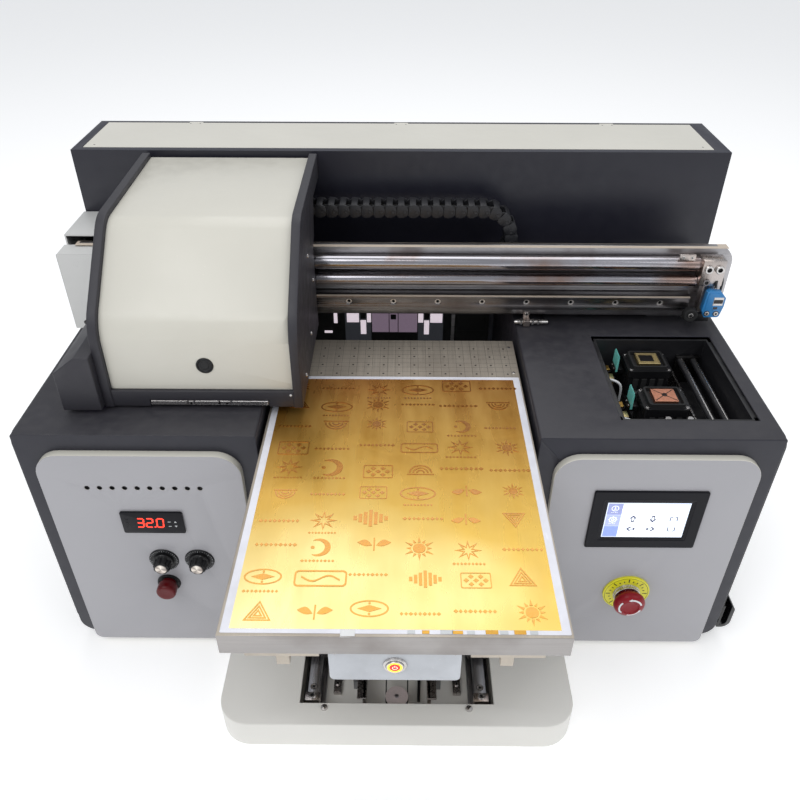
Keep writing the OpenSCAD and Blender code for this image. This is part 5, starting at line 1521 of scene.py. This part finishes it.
def makeBase():
    s = baseSettings
    softCopy("y_rails", [metals["steel"]], 0.6, 2, name="floorRails")
    bm = bmesh.new()
    for side in (-1, 1):
        x = side * s["railX"]
        for k in range(9):
            y = s["front"] + 18 + k * s["railPitch"]
            # painted shade: a black ring in the counterbore round each head, and a black socket
            spun(bm, (x, y, s["railTop"] - 0.02), (0, 0, 1), [(4.6, 0.0), (4.4, 0.1), (3.9, 0.12)], 24,
                1)
            spun(bm, (x, y, s["railTop"]), (0, 0, 1), [(3.9, 0.12), (3.8, 0.1), (2.0, 0.1)], 24, 0)
            spun(bm, (x, y, s["railTop"]), (0, 0, 1), [(2.0, 0.12), (1.9, -0.0), (0, 0.02)], 6, 1,
                0.3 * k)
        # end block with its socket screw and stop pin
        box(bm, x - 9.5, x + 9.5, s["front"] - 4.5, s["front"] + 7.5, 13, 38, 2, 1.0, 2)
        capScrew(bm, (x, s["front"] + 1.5, 38), (0, 0, 1), 4.4, 2.6, 0, 1, 0.2)
        capScrew(bm, (x - side * 5, s["front"] - 4.5, 20), (0, -1, 0), 1.8, 0.8, 0, 1, 0.2)
        for y in (-90, 30, 150, 270, 390):
            box(bm, x - side * 28 - 5, x - side * 28 + 5, y, y + 26, 3, 9, 2, 0.8, 1)
            capScrew(bm, (x - side * 28, y + 13, 9), (0, 0, 1), 2.6, 1.6, 0, 1, 0.2)
    piece("railFittings", bm, [metals["screw"], plastics["black"], metals["block"]], "chassis")
    bm = bmesh.new()
    # side walls of the channel, seams across its floor and a hose along it
    for side in (-1, 1):
        box(bm, side * 41 - 2, side * 41 + 2, -118, 440, 3, 40, 0, 0.6, 1)
        box(bm, side * 44 - 6, side * 44 + 6, -118, 440, 38, 40, 0, 0.4, 1)
    for y in (-60, 60, 180, 300, 420):
        box(bm, -38, 38, y, y + 1.2, 3, 3.4, 1, 0.1, 1)
    tubeAlong(bm, curved([(28, -100, 5.6), (30, 0, 5.4), (24, 120, 5.6), (30, 260, 5.4),
        (26, 430, 5.6)]), 2.0, 8, 2)
    piece("trayChannel", bm, [metals["block"], metals["darkScrew"], plastics["hose"]], "chassis")
    softCopy("saddle", [metals["bedEdge"]], 0.9, 2)
    bm = bmesh.new()
    thread = []
    for k in range(70):
        thread += [(5.2, 1 + k * 2.5), (5.95, 1.9 + k * 2.5), (5.95, 2.5 + k * 2.5)]
    lathe(bm, (0, 50, 58), (0, 0, 1), [(0, 0), (4.6, 0)] + thread + [(4.6, 176), (0, 176)], 24, 0)
    piece("liftScrew", bm, [metals["steel"]], "screw", ["lift_screw"])
    # power box fittings
    bm = bmesh.new()
    cx, cz = 0, 303.5
    spun(bm, (cx, -250, cz), (0, -1, 0), [(8.06, -3), (8.06, 1.4), (8.6, 1.9), (10.2, 1.9),
        (10.9, 1.2), (11.0, 0)], 56, 0)
    for x in (-54, 54):
        crossScrew(bm, (x, -250, 321), (0, -1, 0), 2.2, 1.0, 0, 1, 0.3)
    for k in range(5):
        box(bm, 60 - 0.05, 60.4, -240 + k * 11, -234 + k * 11, 292, 312, 1, 0.1, 1)
        box(bm, -60.4, -60 + 0.05, -240 + k * 11, -234 + k * 11, 292, 312, 1, 0.1, 1)
    piece("powerBoxFittings", bm, [metals["screw"], metals["darkScrew"]], "bed")
    bm = bmesh.new()
    spun(bm, (cx, 0, cz), (0, -1, 0), [(0, 239.5), (7.9, 239.5), (8.0, 252.6), (7.6, 253.1),
        (6.9, 253.1)], 56, 0)
    spun(bm, (cx, 0, cz), (0, -1, 0), [(6.9, 253.1), (6.7, 253.0), (5.2, 253.0), (5.0, 253.1)], 56, 1)
    spun(bm, (cx, 0, cz), (0, -1, 0), [(5.0, 253.1), (4.7, 253.35), (0, 253.45)], 56, 2)
    arcStrip(bm, (cx, cz), -253.47, 1.9, 2.5, 120, 420, 3, 24)
    flat(bm, cx - 0.35, cx + 0.35, cz + 0.8, cz + 3.1, -253.48, 3)
    piece("powerButton", bm, [metals["screw"], glowing("amberRing", srgb(255, 206, 60), 1.5),
        glowing("redLamp", srgb(226, 36, 30), 0.9), glowing("paleMark", srgb(255, 226, 200), 1.2)],
          bodyOf["power_button"], ["power_button"], fix=False)


def pulley(name, node, centre, axis, r, width, teeth, half):
    bm = bmesh.new()
    o = Vector(centre) - Vector(axis) * (width / 2)
    n = teeth * 4
    u, v, w = frameOf(axis)
    rows = []
    for at in (1.6, width - 1.6):
        rows.append([bm.verts.new(o + w * at + (u * math.cos(t) + v * math.sin(t)) * (r - (0.0 if i % 4 < 2 else 0.7)))
                     for i, t in ((i, 2 * math.pi * i / n) for i in range(n))])
    for i in range(n):
        bm.faces.new((rows[0][i], rows[0][(i + 1) % n], rows[1][(i + 1) % n], rows[1][i]))
    for a, b in ((0, 1.6), (width - 1.6, width)):
        lathe(bm, o, axis, [(half, a), (r + 1.5, a), (r + 1.5, (a + b) / 2), (r + 1.2, b),
            (half, b)] if a == 0 else [(half, a), (r + 1.2, a), (r + 1.5, (a + b) / 2), (r + 1.5, b),
            (half, b)], 48, 0)
    spun(bm, o, axis, [(half, 0.2), (half + 0.05, width - 0.2)], 24, 0)
    spun(bm, o + w * (width - 0.4), axis, [(half + 2.2, 0), (half + 2.0, 0.39), (half, 0.39)], 28, 0)
    piece(name, bm, [metals["pulley"]], bodyOf[node], [node])


def makeBelts():
    pulley("beamPulleyDrive", "x_pulley_drive", (-398, 278.5, 448), (0, 1, 0), 9.9, 12, 20, 2.6)
    pulley("beamPulleyIdle", "x_pulley_idle", (413, 278.5, 448), (0, 1, 0), 9.9, 12, 20, 2.6)
    pulley("floorPulleyFront", "y_pulley_front", (0, -111, 28.5), (0, 0, 1), 12.9, 12, 26, 2.6)
    pulley("floorPulleyRear", "y_pulley_rear", (0, 430, 28.5), (0, 0, 1), 12.9, 12, 26, 2.6)
    for name, node, a, b, r, across, place in (
            ("beamBelt", "x_belt", -398, 413, 10, (274, 283), lambda p, q, t: (p, t, 448 + q)),
            ("floorBelt", "y_belt", -111, 430, 13, (24, 33), lambda p, q, t: (q, p, t))):
        bm = bmesh.new()
        def loop(rr):
            out = [(a + rr * math.cos(t),
                rr * math.sin(t)) for t in (math.radians(90 + 180 * i / 20) for i in range(21))]
            return out + [(b + rr * math.cos(t),
                rr * math.sin(t)) for t in (math.radians(270 + 180 * i / 20) for i in range(21))]
        outer, inner = loop(r + 1.5), loop(r + 0.6)
        rings = [[bm.verts.new(place(p, q, t)) for p, q in line] for line,
            t in ((outer, across[0]), (outer, across[1]), (inner, across[1]), (inner, across[0]))]
        for k in range(4):
            for i in range(len(outer)):
                j = (i + 1) % len(outer)
                bm.faces.new((rings[k][i], rings[k][j], rings[(k + 1) % 4][j], rings[(k + 1) % 4][i]))
        piece(name, bm, [plastics["rubber"]], "chassis", [node])
        def tooth(bm):
            prism(bm, "Y", [(-0.75, 0), (-0.45, -0.62), (0.45, -0.62), (0.75, 0)], -4.4, 4.4, 0)
        seed = seedPart("toothSeed", tooth, [plastics["rubber"]])
        points, turns = [], []
        steps = int((b - a) / 3)
        for i in range(steps):
            p = a + (b - a) * (i + 0.5) / steps
            for side in (-1, 1):
                mid = (across[0] + across[1]) / 2
                points.append(place(p, side * (r + 0.62), mid))
                if name == "beamBelt":
                    turns.append((0, 0 if side > 0 else math.pi, 0))
                else:
                    turns.append((math.pi / 2, 0, math.pi / 2 if side > 0 else -math.pi / 2))
        scatter(name + "Teeth", points, seed, [plastics["rubber"]], "chassis", 1, 0.0, turns)
        dropPart(seed)


makeBase()
makeBelts()
print("base ready")


# capping well
def makeWell():
    softCopy("cap_deck", [paints["black"]], 0.8, 2)
    bm = bmesh.new()
    for x in (383, 401):
        rod(bm, (x, 41.2, 335), (x, 214.8, 335), 3.52, 28, 0, 0.4)
    for y in (44, 206):
        box(bm, 376, 408, y, y + 5, 299.5, 341, 1, 0.8, 2)
    box(bm, 292, 368, 44, 212, 299.2, 300.6, 1, 0.3, 1)
    box(bm, 371, 374, 46, 210, 299.5, 322, 0, 0.5, 1)
    for x, y in ((327, 68), (354, 68), (327, 212), (354, 212)):
        rod(bm, (x, y, 300), (x, y, 340), 2.7, 20, 0, 0.5)
        rod(bm, (x, y, 340), (x, y, 342.5), 4.0, 24, 0, 0.6)
    for x, y in ((300, 50), (345, 50), (300, 214.5), (345, 214.5), (272, 60), (272, 200)):
        crossScrew(bm, (x, y, 300.6 if x > 280 else 299.6), (0, 0, 1), 2.4, 1.1, 0, 2, x)
    rng = random.Random(6)
    for y0 in (79, 162):
        # fittings and small pumps to the left of each station
        for k in range(3):
            y = y0 + 6 + k * 12
            rod(bm, (268 + rng.uniform(0, 4), y, 300), (268 + rng.uniform(0, 4), y,
                326 + rng.uniform(0, 8)), 3.0, 20, 3, 0.5)
            rod(bm, (270, y, 322), (283, y + 3, 322), 2.0, 16, 3, 0.4)
        box(bm, 274, 284, y0 + 2, y0 + 14, 299.5, 334, 4, 1.0, 2)
        box(bm, 276, 285, y0 + 26, y0 + 40, 299.5, 328, 2, 1.0, 2)
        box(bm, 275.5, 284.2, y0 + 28, y0 + 38, 328, 331, 3, 0.6, 1)
        tubeAlong(bm, curved([(270, y0 + 4, 322), (276, y0 - 4, 336), (290, y0 - 8, 330),
            (292, y0 - 9, 306)]), 1.7, 8, 5)
        tubeAlong(bm, curved([(284, y0 + 33, 318), (292, y0 + 42, 322), (296, y0 + 50, 308),
            (292, y0 + 56, 301)]), 1.9, 8, 2)
    piece("wellFittings", bm, [metals["screw"], metals["darkScrew"], plastics["black"], metals["brass"],
        metals["gilt"], plastics["white"]], "chassis")
    body = bodyOf["cap_stations"]
    bm = bmesh.new()
    x0, x1 = 300.5, 357.5
    box(bm, x0, x1, 79, 206, 301, 306, 0, 0.6, 1)
    for y0 in (79, 162):
        y1 = y0 + 44
        box(bm, x0 + 1.5, x1 - 1.5, y0 + 1.5, y1 - 1.5, 305, 343, 0, 2.2, 3)
        outer = roundedBox(x0, x1, y0, y1, 5, 6)
        mid = roundedBox(x0 + 9, x1 - 9, y0 + 6, y1 - 5, 4, 6)
        band(bm, outer, mid, 336, 346.5, 0)
        rim = roundedBox(x0 + 6, x1 - 6, y0 + 3.4, y1 - 2.6, 4, 6)
        rim2 = roundedBox(x0 + 8.4, x1 - 8.4, y0 + 5.6, y1 - 4.6, 3, 6)
        band(bm, rim, rim2, 345, 352 - 0.05, 1)
        box(bm, x0 + 9, x1 - 9, y0 + 6, y1 - 5, 340, 347.2, 1, 0.5, 1)
        for x in (x0 + 4, x1 - 4):
            for y in (y0 + 4, y1 - 4):
                capScrew(bm, (x, y, 346.4), (0, 0, 1), 2.1, 1.4, 2, 0, x)
        for x, s in ((x0, -1), (x1, 1)):
            box(bm, min(x, x + s * -3), max(x, x + s * -3), y0 + 12, y1 - 12, 318, 340, 0, 0.8, 1)
        for k in range(4):
            box(bm, x0 + 8 + k * 11, x0 + 15 + k * 11, y0 + 0.02, y0 + 2, 312, 334, 1, 0.4, 1)
    piece("capStations", bm, [plastics["black"], plastics["rubber"], metals["screw"]], body,
        ["cap_stations"])
    bm = bmesh.new()
    for k, y0 in enumerate((89, 172)):
        box(bm, 314.5, 343.5, y0, y0 + 26, 347, 352.6, k, 0.4, 1)
        lo, hi, a, b = 315.6, 342.4, y0 + 1.2, y0 + 24.8
        if k == 0:
            for (p, q), (r, t) in (((lo, a), (hi, b)), ((lo, b), (hi, a))):
                d = Vector((r - p, t - q, 0)).normalized() * 0.45
                e = Vector((-d.y, d.x, 0))
                pts = [Vector((p, q, 352.8)) + e, Vector((p, q, 352.8)) - e, Vector((r, t, 352.8)) - e,
                    Vector((r, t, 352.8)) + e]
                bm.faces.new([bm.verts.new(v) for v in pts]).material_index = 2
            spun(bm, (329, y0 + 13, 352.6), (0, 0, 1), [(3.2, 0), (3.0, 0.6), (1.6, 0.6)], 24, 2)
        else:
            for j in range(9):
                box(bm, lo, hi, a + j * 2.7, a + j * 2.7 + 0.7, 352.5, 353.0, 1, 0.1, 1)
            box(bm, 318, 336, y0 + 5, y0 + 19, 352.9, 353.5, 2, 0.2, 1)
    piece("capInserts", bm, [metals["copper"], metals["gilt"], metals["darkScrew"]], body,
        ["cap_inserts"])
    bm = bmesh.new()
    for y in (97, 180):
        box(bm, 286.6, 300.4, y + 4, y + 16, 327, 335, 1, 0.8, 2)
        prism(bm, "Y", [(288.5, 333), (291.5, 333), (291.2, 355), (290.3, 357.9), (289.8, 357.9),
            (288.8, 355)], y, y + 20, 0, 0.4, 1)
        box(bm, 287.6, 292.4, y + 1, y + 19, 333, 339, 1, 0.6, 1)
        for dy in (5, 15):
            capScrew(bm, (287.6, y + dy, 336), (-1, 0, 0), 1.4, 0.9, 2, 1, dy)
    piece("wiperBlades", bm, [plastics["teal"], plastics["black"], metals["screw"]], body, ["wipers"])


makeWell()
print("capping well ready")


# the back, the underside and what is under the lid
rearSettings = {"back": 480, "bottles": [-150 + 60 * i for i in range(6)],
                "inks": [(20, 20, 24), (190, 30, 120), (24, 120, 190), (222, 200, 30), (232, 232, 236),
                (214, 216, 224)]}


def inkMaterial(k, colour):
    mat, tree, shader, coord = startMaterial("inkFill%d" % k)
    xyz = put(tree, "ShaderNodeSeparateXYZ")
    tree.links.new(coord, xyz.inputs[0])
    level = span(tree, math2(tree, "ADD", xyz.outputs["Z"],
        span(tree, noiseOf(tree, coord, 40, 2), -0.0006, 0.0006)), 0, 1, 0.4545, 0.4565)
    tone = mixColour(tree, level, srgb(*colour), srgb(205, 206, 204))
    cloud = noiseOf(tree, coord, 90, 3)
    tone = mixColour(tree, span(tree, cloud, 0, 0.12), tone, srgb(235, 235, 235))
    tree.links.new(tone, shader.inputs["Base Color"])
    tree.links.new(span(tree, cloud, 0.24, 0.38), shader.inputs["Roughness"])
    shader.inputs["Subsurface Weight"].default_value = 0.15
    shader.inputs["Subsurface Scale"].default_value = 0.003
    tree.links.new(bumped(tree, cloud, 0.0002, 0.5, roundNormal(tree, 0.001)), shader.inputs["Normal"])
    return mat


def makeBottles():
    s = rearSettings
    mats = [inkMaterial(k, c) for k, c in enumerate(s["inks"])]
    n = len(mats)
    bm = bmesh.new()
    for k, x in enumerate(s["bottles"]):
        box(bm, x - 22, x + 22, 375, 455, 368, 478, k, 4, 4)
        prism(bm, "Z", roundedBox(x - 21.5, x + 21.5, 375.5, 454.5, 6, 5), 477, 485, k, 3, 3)
        spun(bm, (x, 415, 484), (0, 0, 1), [(9, 0), (9, 5), (13.2, 5), (14, 6), (14, 18), (13.2, 20),
            (4, 20.4), (4, 21.8), (0, 21.8)], 48, n)
        for i in range(36):
            t = 2 * math.pi * i / 36
            px, py = x + 13.55 * math.cos(t), 415 + 13.55 * math.sin(t)
            rod(bm, (px, py, 490.5), (px, py, 501.5), 0.55, 5, n)
        tubeAlong(bm, curved([(x, 415, 505.8 - 0.5), (x + 2, 420, 505.9 - 3), (x + 8, 438, 505 - 4),
            (x + 14, 458, 498), (x + 12, 466, 470), (x + 10, 468, 440)]), 1.9, 8, n + 1)
        prism(bm, "Y", roundedBox(x - 15, x + 15, 398, 440, 2, 3), 374.98, 375.3, n + 2)
        box(bm, x - 12, x + 12, 374.97, 375.1, 430, 436, k, 0, 1)
    piece("inkBottles", bm, mats + [plastics["black"], plastics["hose"], plastics["label"]], "chassis",
        ["ink_bottles"])


def makeRear():
    b = rearSettings["back"]
    bm = bmesh.new()
    rng = random.Random(12)
    # screws round the rear faces of housing and towers
    for x in (-430, -290, -145, 0, 145, 290, 430):
        for z in (378, 556):
            crossScrew(bm, (x, b, z), (0, 1, 0), 3.0, 1.4, 0, 1, rng.uniform(0, 1))
    for x in (-428, -300, -176, 176, 300, 428):
        for z in (38, 200, 350):
            crossScrew(bm, (x, b, z), (0, 1, 0), 3.0, 1.4, 0, 1, rng.uniform(0, 1))
    for x in (-150, 0, 150):
        for z in (55, 355):
            crossScrew(bm, (x, 477, z), (0, 1, 0), 3.0, 1.4, 0, 1, rng.uniform(0, 1))
    for x in (-222 - 30, -222 + 14):
        crossScrew(bm, (x + 11, 482 - 1.4, 75), (0, 1, 0), 1.8, 1.1, 0, 1, 0.4)
    piece("rearScrews", bm, [metals["screw"], plastics["black"]], "chassis")
    # rocker switch and blank rating plate by the inlet
    bm = bmesh.new()
    prism(bm, "Y", roundedBox(-252, -208, 94, 122, 2, 3), b, b + 1.6, 0, 0.5, 2)
    prism(bm, "X", [(b + 1.6, 96.5), (b + 1.9, 97), (b + 1.2, 108), (b + 1.95, 119), (b + 1.6, 119.5),
        (b - 1, 119.5), (b - 1, 96.5)], -247, -213, 1)
    box(bm, -346, -276, b, b + 0.5, 62, 104, 2, 0.2, 1)
    for k in range(5):
        w = (54, 40, 58, 34, 48)[k]
        box(bm, -340, -340 + w, b + 0.5, b + 0.62, 95 - k * 6.6, 96.4 - k * 6.6, 3, 0, 1)
    # data socket and blanking plug
    prism(bm, "Y", roundedBox(-190, -172, 66, 84, 1.5, 3), b, b + 1.4, 0, 0.4, 2)
    box(bm, -186.5, -175.5, b + 1.2, b + 1.5, 70, 79, 4, 0.2, 1)
    for x, z in ((196, 70), (226, 70)):
        spun(bm, (x, b, z), (0, 1, 0), [(9, 0), (9, 0.8), (8, 1.6), (4.4, 1.7), (4.2, 0.6), (0, 0.5)],
            40, 0 if x < 200 else 5)
    piece("rearFittings", bm, [plastics["black"], plastics["gloss"], metals["plate"],
        metals["darkScrew"], metals["screw"], metals["brass"]], "chassis")
    softCopy("power_inlet", [plastics["black"]], 0.5, 2)
    # louvres on the towers and the housing: one fin, placed by a node tree
    def fin(bm):
        prism(bm, "X", [(0, -2.6), (1.5, -2.2), (1.9, 0.4), (0.3, 2.4), (0, 2.4)], -42, 42, 0)
    def slotShadow(bm):
        box(bm, -40, 40, 0, 0.06, -2.2, -0.6, 0)
    points = []
    for x in (-300, 300):
        for k in range(12):
            points.append((x, b, 210 + k * 9))
    for x in (-330, -110, 110, 330):
        for k in range(8):
            points.append((x, b, 438 + k * 9))
    seed = seedPart("finSeed", fin, [paints["housing"]])
    scatter("rearLouvres", points, seed, [paints["housing"]], "chassis", 1)
    dropPart(seed)
    seed = seedPart("slotSeed", slotShadow, [plastics["black"]])
    scatter("louvreSlots", [(x, y, z - 2.0) for x, y, z in points], seed, [plastics["black"]], "chassis", 1)
    dropPart(seed)
    # round fan grilles on the towers' back
    bm = bmesh.new()
    for cx, cz in ((-360, 150), (360, 150)):
        spun(bm, (cx, b, cz), (0, 1, 0), [(39, 0.02), (0, 0.03)], 64, 1)
        for r in (38, 31, 24, 17, 10):
            ringPts = [(cx + r * math.cos(t), b + 1.0,
                cz + r * math.sin(t)) for t in (2 * math.pi * i / 56 for i in range(57))]
            tubeAlong(bm, ringPts, 0.75, 6, 0)
        for t in (0.4, 0.4 + math.pi / 2, 0.4 + math.pi, 0.4 + 3 * math.pi / 2):
            rod(bm, (cx + 6 * math.cos(t), b + 1.0, cz + 6 * math.sin(t)),
                (cx + 41 * math.cos(t), b + 1.0, cz + 41 * math.sin(t)), 0.8, 6, 0)
        spun(bm, (cx, b, cz), (0, 1, 0), [(8, 0.05), (8, 1.0), (7, 1.6), (0, 1.7)], 32, 0)
        for sx in (-1, 1):
            for sz in (-1, 1):
                crossScrew(bm, (cx + sx * 36, b, cz + sz * 36), (0, 1, 0), 2.6, 1.5, 0, 1, 0.5)
    piece("fanGrilles", bm, [metals["screw"], plastics["gloss"]], "chassis")
    softCopy("back_panel", [paints["housing"]], 0.6, 2)
    softCopy("side_panels", [paints["black"]], 1.0, 2)
    softCopy("side_handles", [plastics["gloss"]], 1.6, 3)
    softCopy("drive_motors", [plastics["black"]], 1.4, 3)
    softCopy("slide_blocks", [metals["rail"]], 0.8, 2)
    bm = bmesh.new()
    for side in (-1, 1):
        x = side * 441
        for y in (18, 462):
            for z in (60, 200, 345):
                if side > 0 and y < 100 and z < 100:
                    continue
                crossScrew(bm, (x, y, z), (side, 0, 0), 3.2, 1.5, 0, 1, rng.uniform(0, 1))
        for y in (364, 466):
            for z in (385, 556):
                crossScrew(bm, (x, y, z), (side, 0, 0), 3.0, 1.4, 0, 1, rng.uniform(0, 1))
        for k in range(9):
            z = 236 + k * 9
            prism(bm, "Y", [(x, z - 2.6), (x + side * 1.6, z - 2.2), (x + side * 2.0, z + 0.4),
                (x, z + 2.4)], 200, 300, 2)
            # painted shadow: a thin black strip under each fin
            box(bm, min(x, x + side * 0.06), max(x, x + side * 0.06), 202, 298, z - 3.9, z - 2.5, 1)
    piece("sideDetails", bm, [metals["screw"], plastics["black"], paints["black"]], "chassis")
    # feet: ribbed rubber with a steel insert
    bm = bmesh.new()
    for cx, cy, r in footSpots():
        lathe(bm, (cx, cy, 0), (0, 0, 1), [(0, 0.0), (r * 0.8, 0.0), (r * 0.84, 0.8), (r - 0.6, 0.8),
            (r, 1.6), (r, 4), (r - 0.8, 4.5), (r, 5), (r, 8), (r - 0.8, 8.5), (r - 0.2, 9),
            (r - 1.2, 14.6), (0, 15)], 48, 0)
        spun(bm, (cx, cy, 0), (0, 0, 1), [(4.4, 0.02), (4.2, 0.6), (0, 0.6)], 24, 1)
    piece("rubberFeet", bm, [plastics["rubber"], metals["screw"]], "chassis", ["feet"])


def footSpots():
    pts = [v.co * 1000 for v in nodes["feet"].data.vertices]
    out = []
    for sx in (-1, 1):
        for inner in (True, False):
            for front in (True, False):
                near = [p for p in pts if p.x * sx > 0 and (abs(p.x) < 300) == inner and (p.y < 240) == front]
                if near:
                    xs, ys = [p.x for p in near], [p.y for p in near]
                    out.append(((min(xs) + max(xs)) / 2, (min(ys) + max(ys)) / 2, (max(xs) - min(xs)) / 2))
    return out


# dark filter sheet behind the rear louvres, painted shade where light would show through, and glowing fittings on it
# as painted light, seen under the beam
def makeBackWall():
    bm = bmesh.new()
    def at(u0, u1, v0, v1, mat, depth=1.2):
        x0, x1 = -49 + (u0 - 372) * 1.724, -49 + (u1 - 372) * 1.724
        z0, z1 = 248 - (v1 - 316) * 1.96, 248 - (v0 - 316) * 1.96
        box(bm, x0, x1, 472.4 - depth, 472.4, z0, z1, mat, 0.3, 1)
    box(bm, -152, 152, 472.3, 473.6, 52, 358, 0, 0.4, 1)
    for k in range(30):
        box(bm, -150, 150, 472.0, 472.4, 60 + k * 4.6, 61 + k * 4.6, 0, 0, 1)
    for a, b in ((372, 388.6), (389.4, 397.6), (398.4, 417)):
        at(a, b, 309, 332, 1, 1.4)
    at(390.5, 396, 314, 319, 0, 1.8)
    for a, b in ((345, 371), (418, 443)):
        at(a, b, 306, 345, 2, 0.9)
    for a, b, c, d in ((347, 359, 310, 322), (367, 371, 310, 322), (418, 423, 310, 322),
            (430, 442, 310, 322), (360.5, 366, 320, 334), (424, 429, 320, 334), (334, 337.5, 308, 323),
            (324, 332, 331, 333)):
        at(a, b, c, d, 3, 1.9)
    at(360.5, 366, 308, 318.5, 0, 2.1)
    at(424, 429, 308, 318.5, 0, 2.1)
    at(451, 454.5, 306, 345, 4, 1.5)
    at(457, 486, 309, 330, 5, 1.0)
    # the lilac plate, the dim bars and the bright gaps glow: painted light
    piece("filterWall", bm, [plastics["rubber"], glowing("lilacPlate", srgb(150, 130, 150), 0.45),
        glowing("dimBars", srgb(62, 64, 70), 0.35),
                             glowing("paintedLightGaps", srgb(240, 226, 236), 0.75), metals["plate"],
                             plastics["black"]], "chassis")


def makeHousingDetails():
    bm = bmesh.new()
    # wiring and hose clips seen in the gap behind the beam
    for k, (y, z) in enumerate(((336, 420), (339, 428), (334, 436))):
        tubeAlong(bm, curved([(-420, y, z), (-200, y + 2, z - 3), (0, y, z + 2), (210, y - 2, z - 2),
            (425, y, z)]), 2.4 - 0.4 * k, 8, 0)
    for x in (-300, -150, 0, 150, 300):
        box(bm, x, x + 8, 331, 343, 415, 442, 1, 1.0, 2)
    piece("beamWiring", bm, [plastics["hose"], plastics["black"]], "chassis")
    bm = bmesh.new()
    (x0, x1), (y0, y1), _ = mmBox("lid")
    for x in (-300, 0, 300):
        for dx in (-7, 7):
            crossScrew(bm, (x + dx, y1 - 9, 571.0 - 0.9), (0, 0, 1), 2.0, 1.0, 0, 1, 0.4)
    for x in (x0 + 12, x1 - 12):
        crossScrew(bm, (x, y0 + 10, 571.0 - 0.9), (0, 0, 1), 2.2, 1.0, 0, 1, 0.2)
    piece("lidScrews", bm, [metals["screw"], plastics["black"]], "lid")


makeBottles()
makeRear()
makeBackWall()
makeHousingDetails()
print("rear ready")
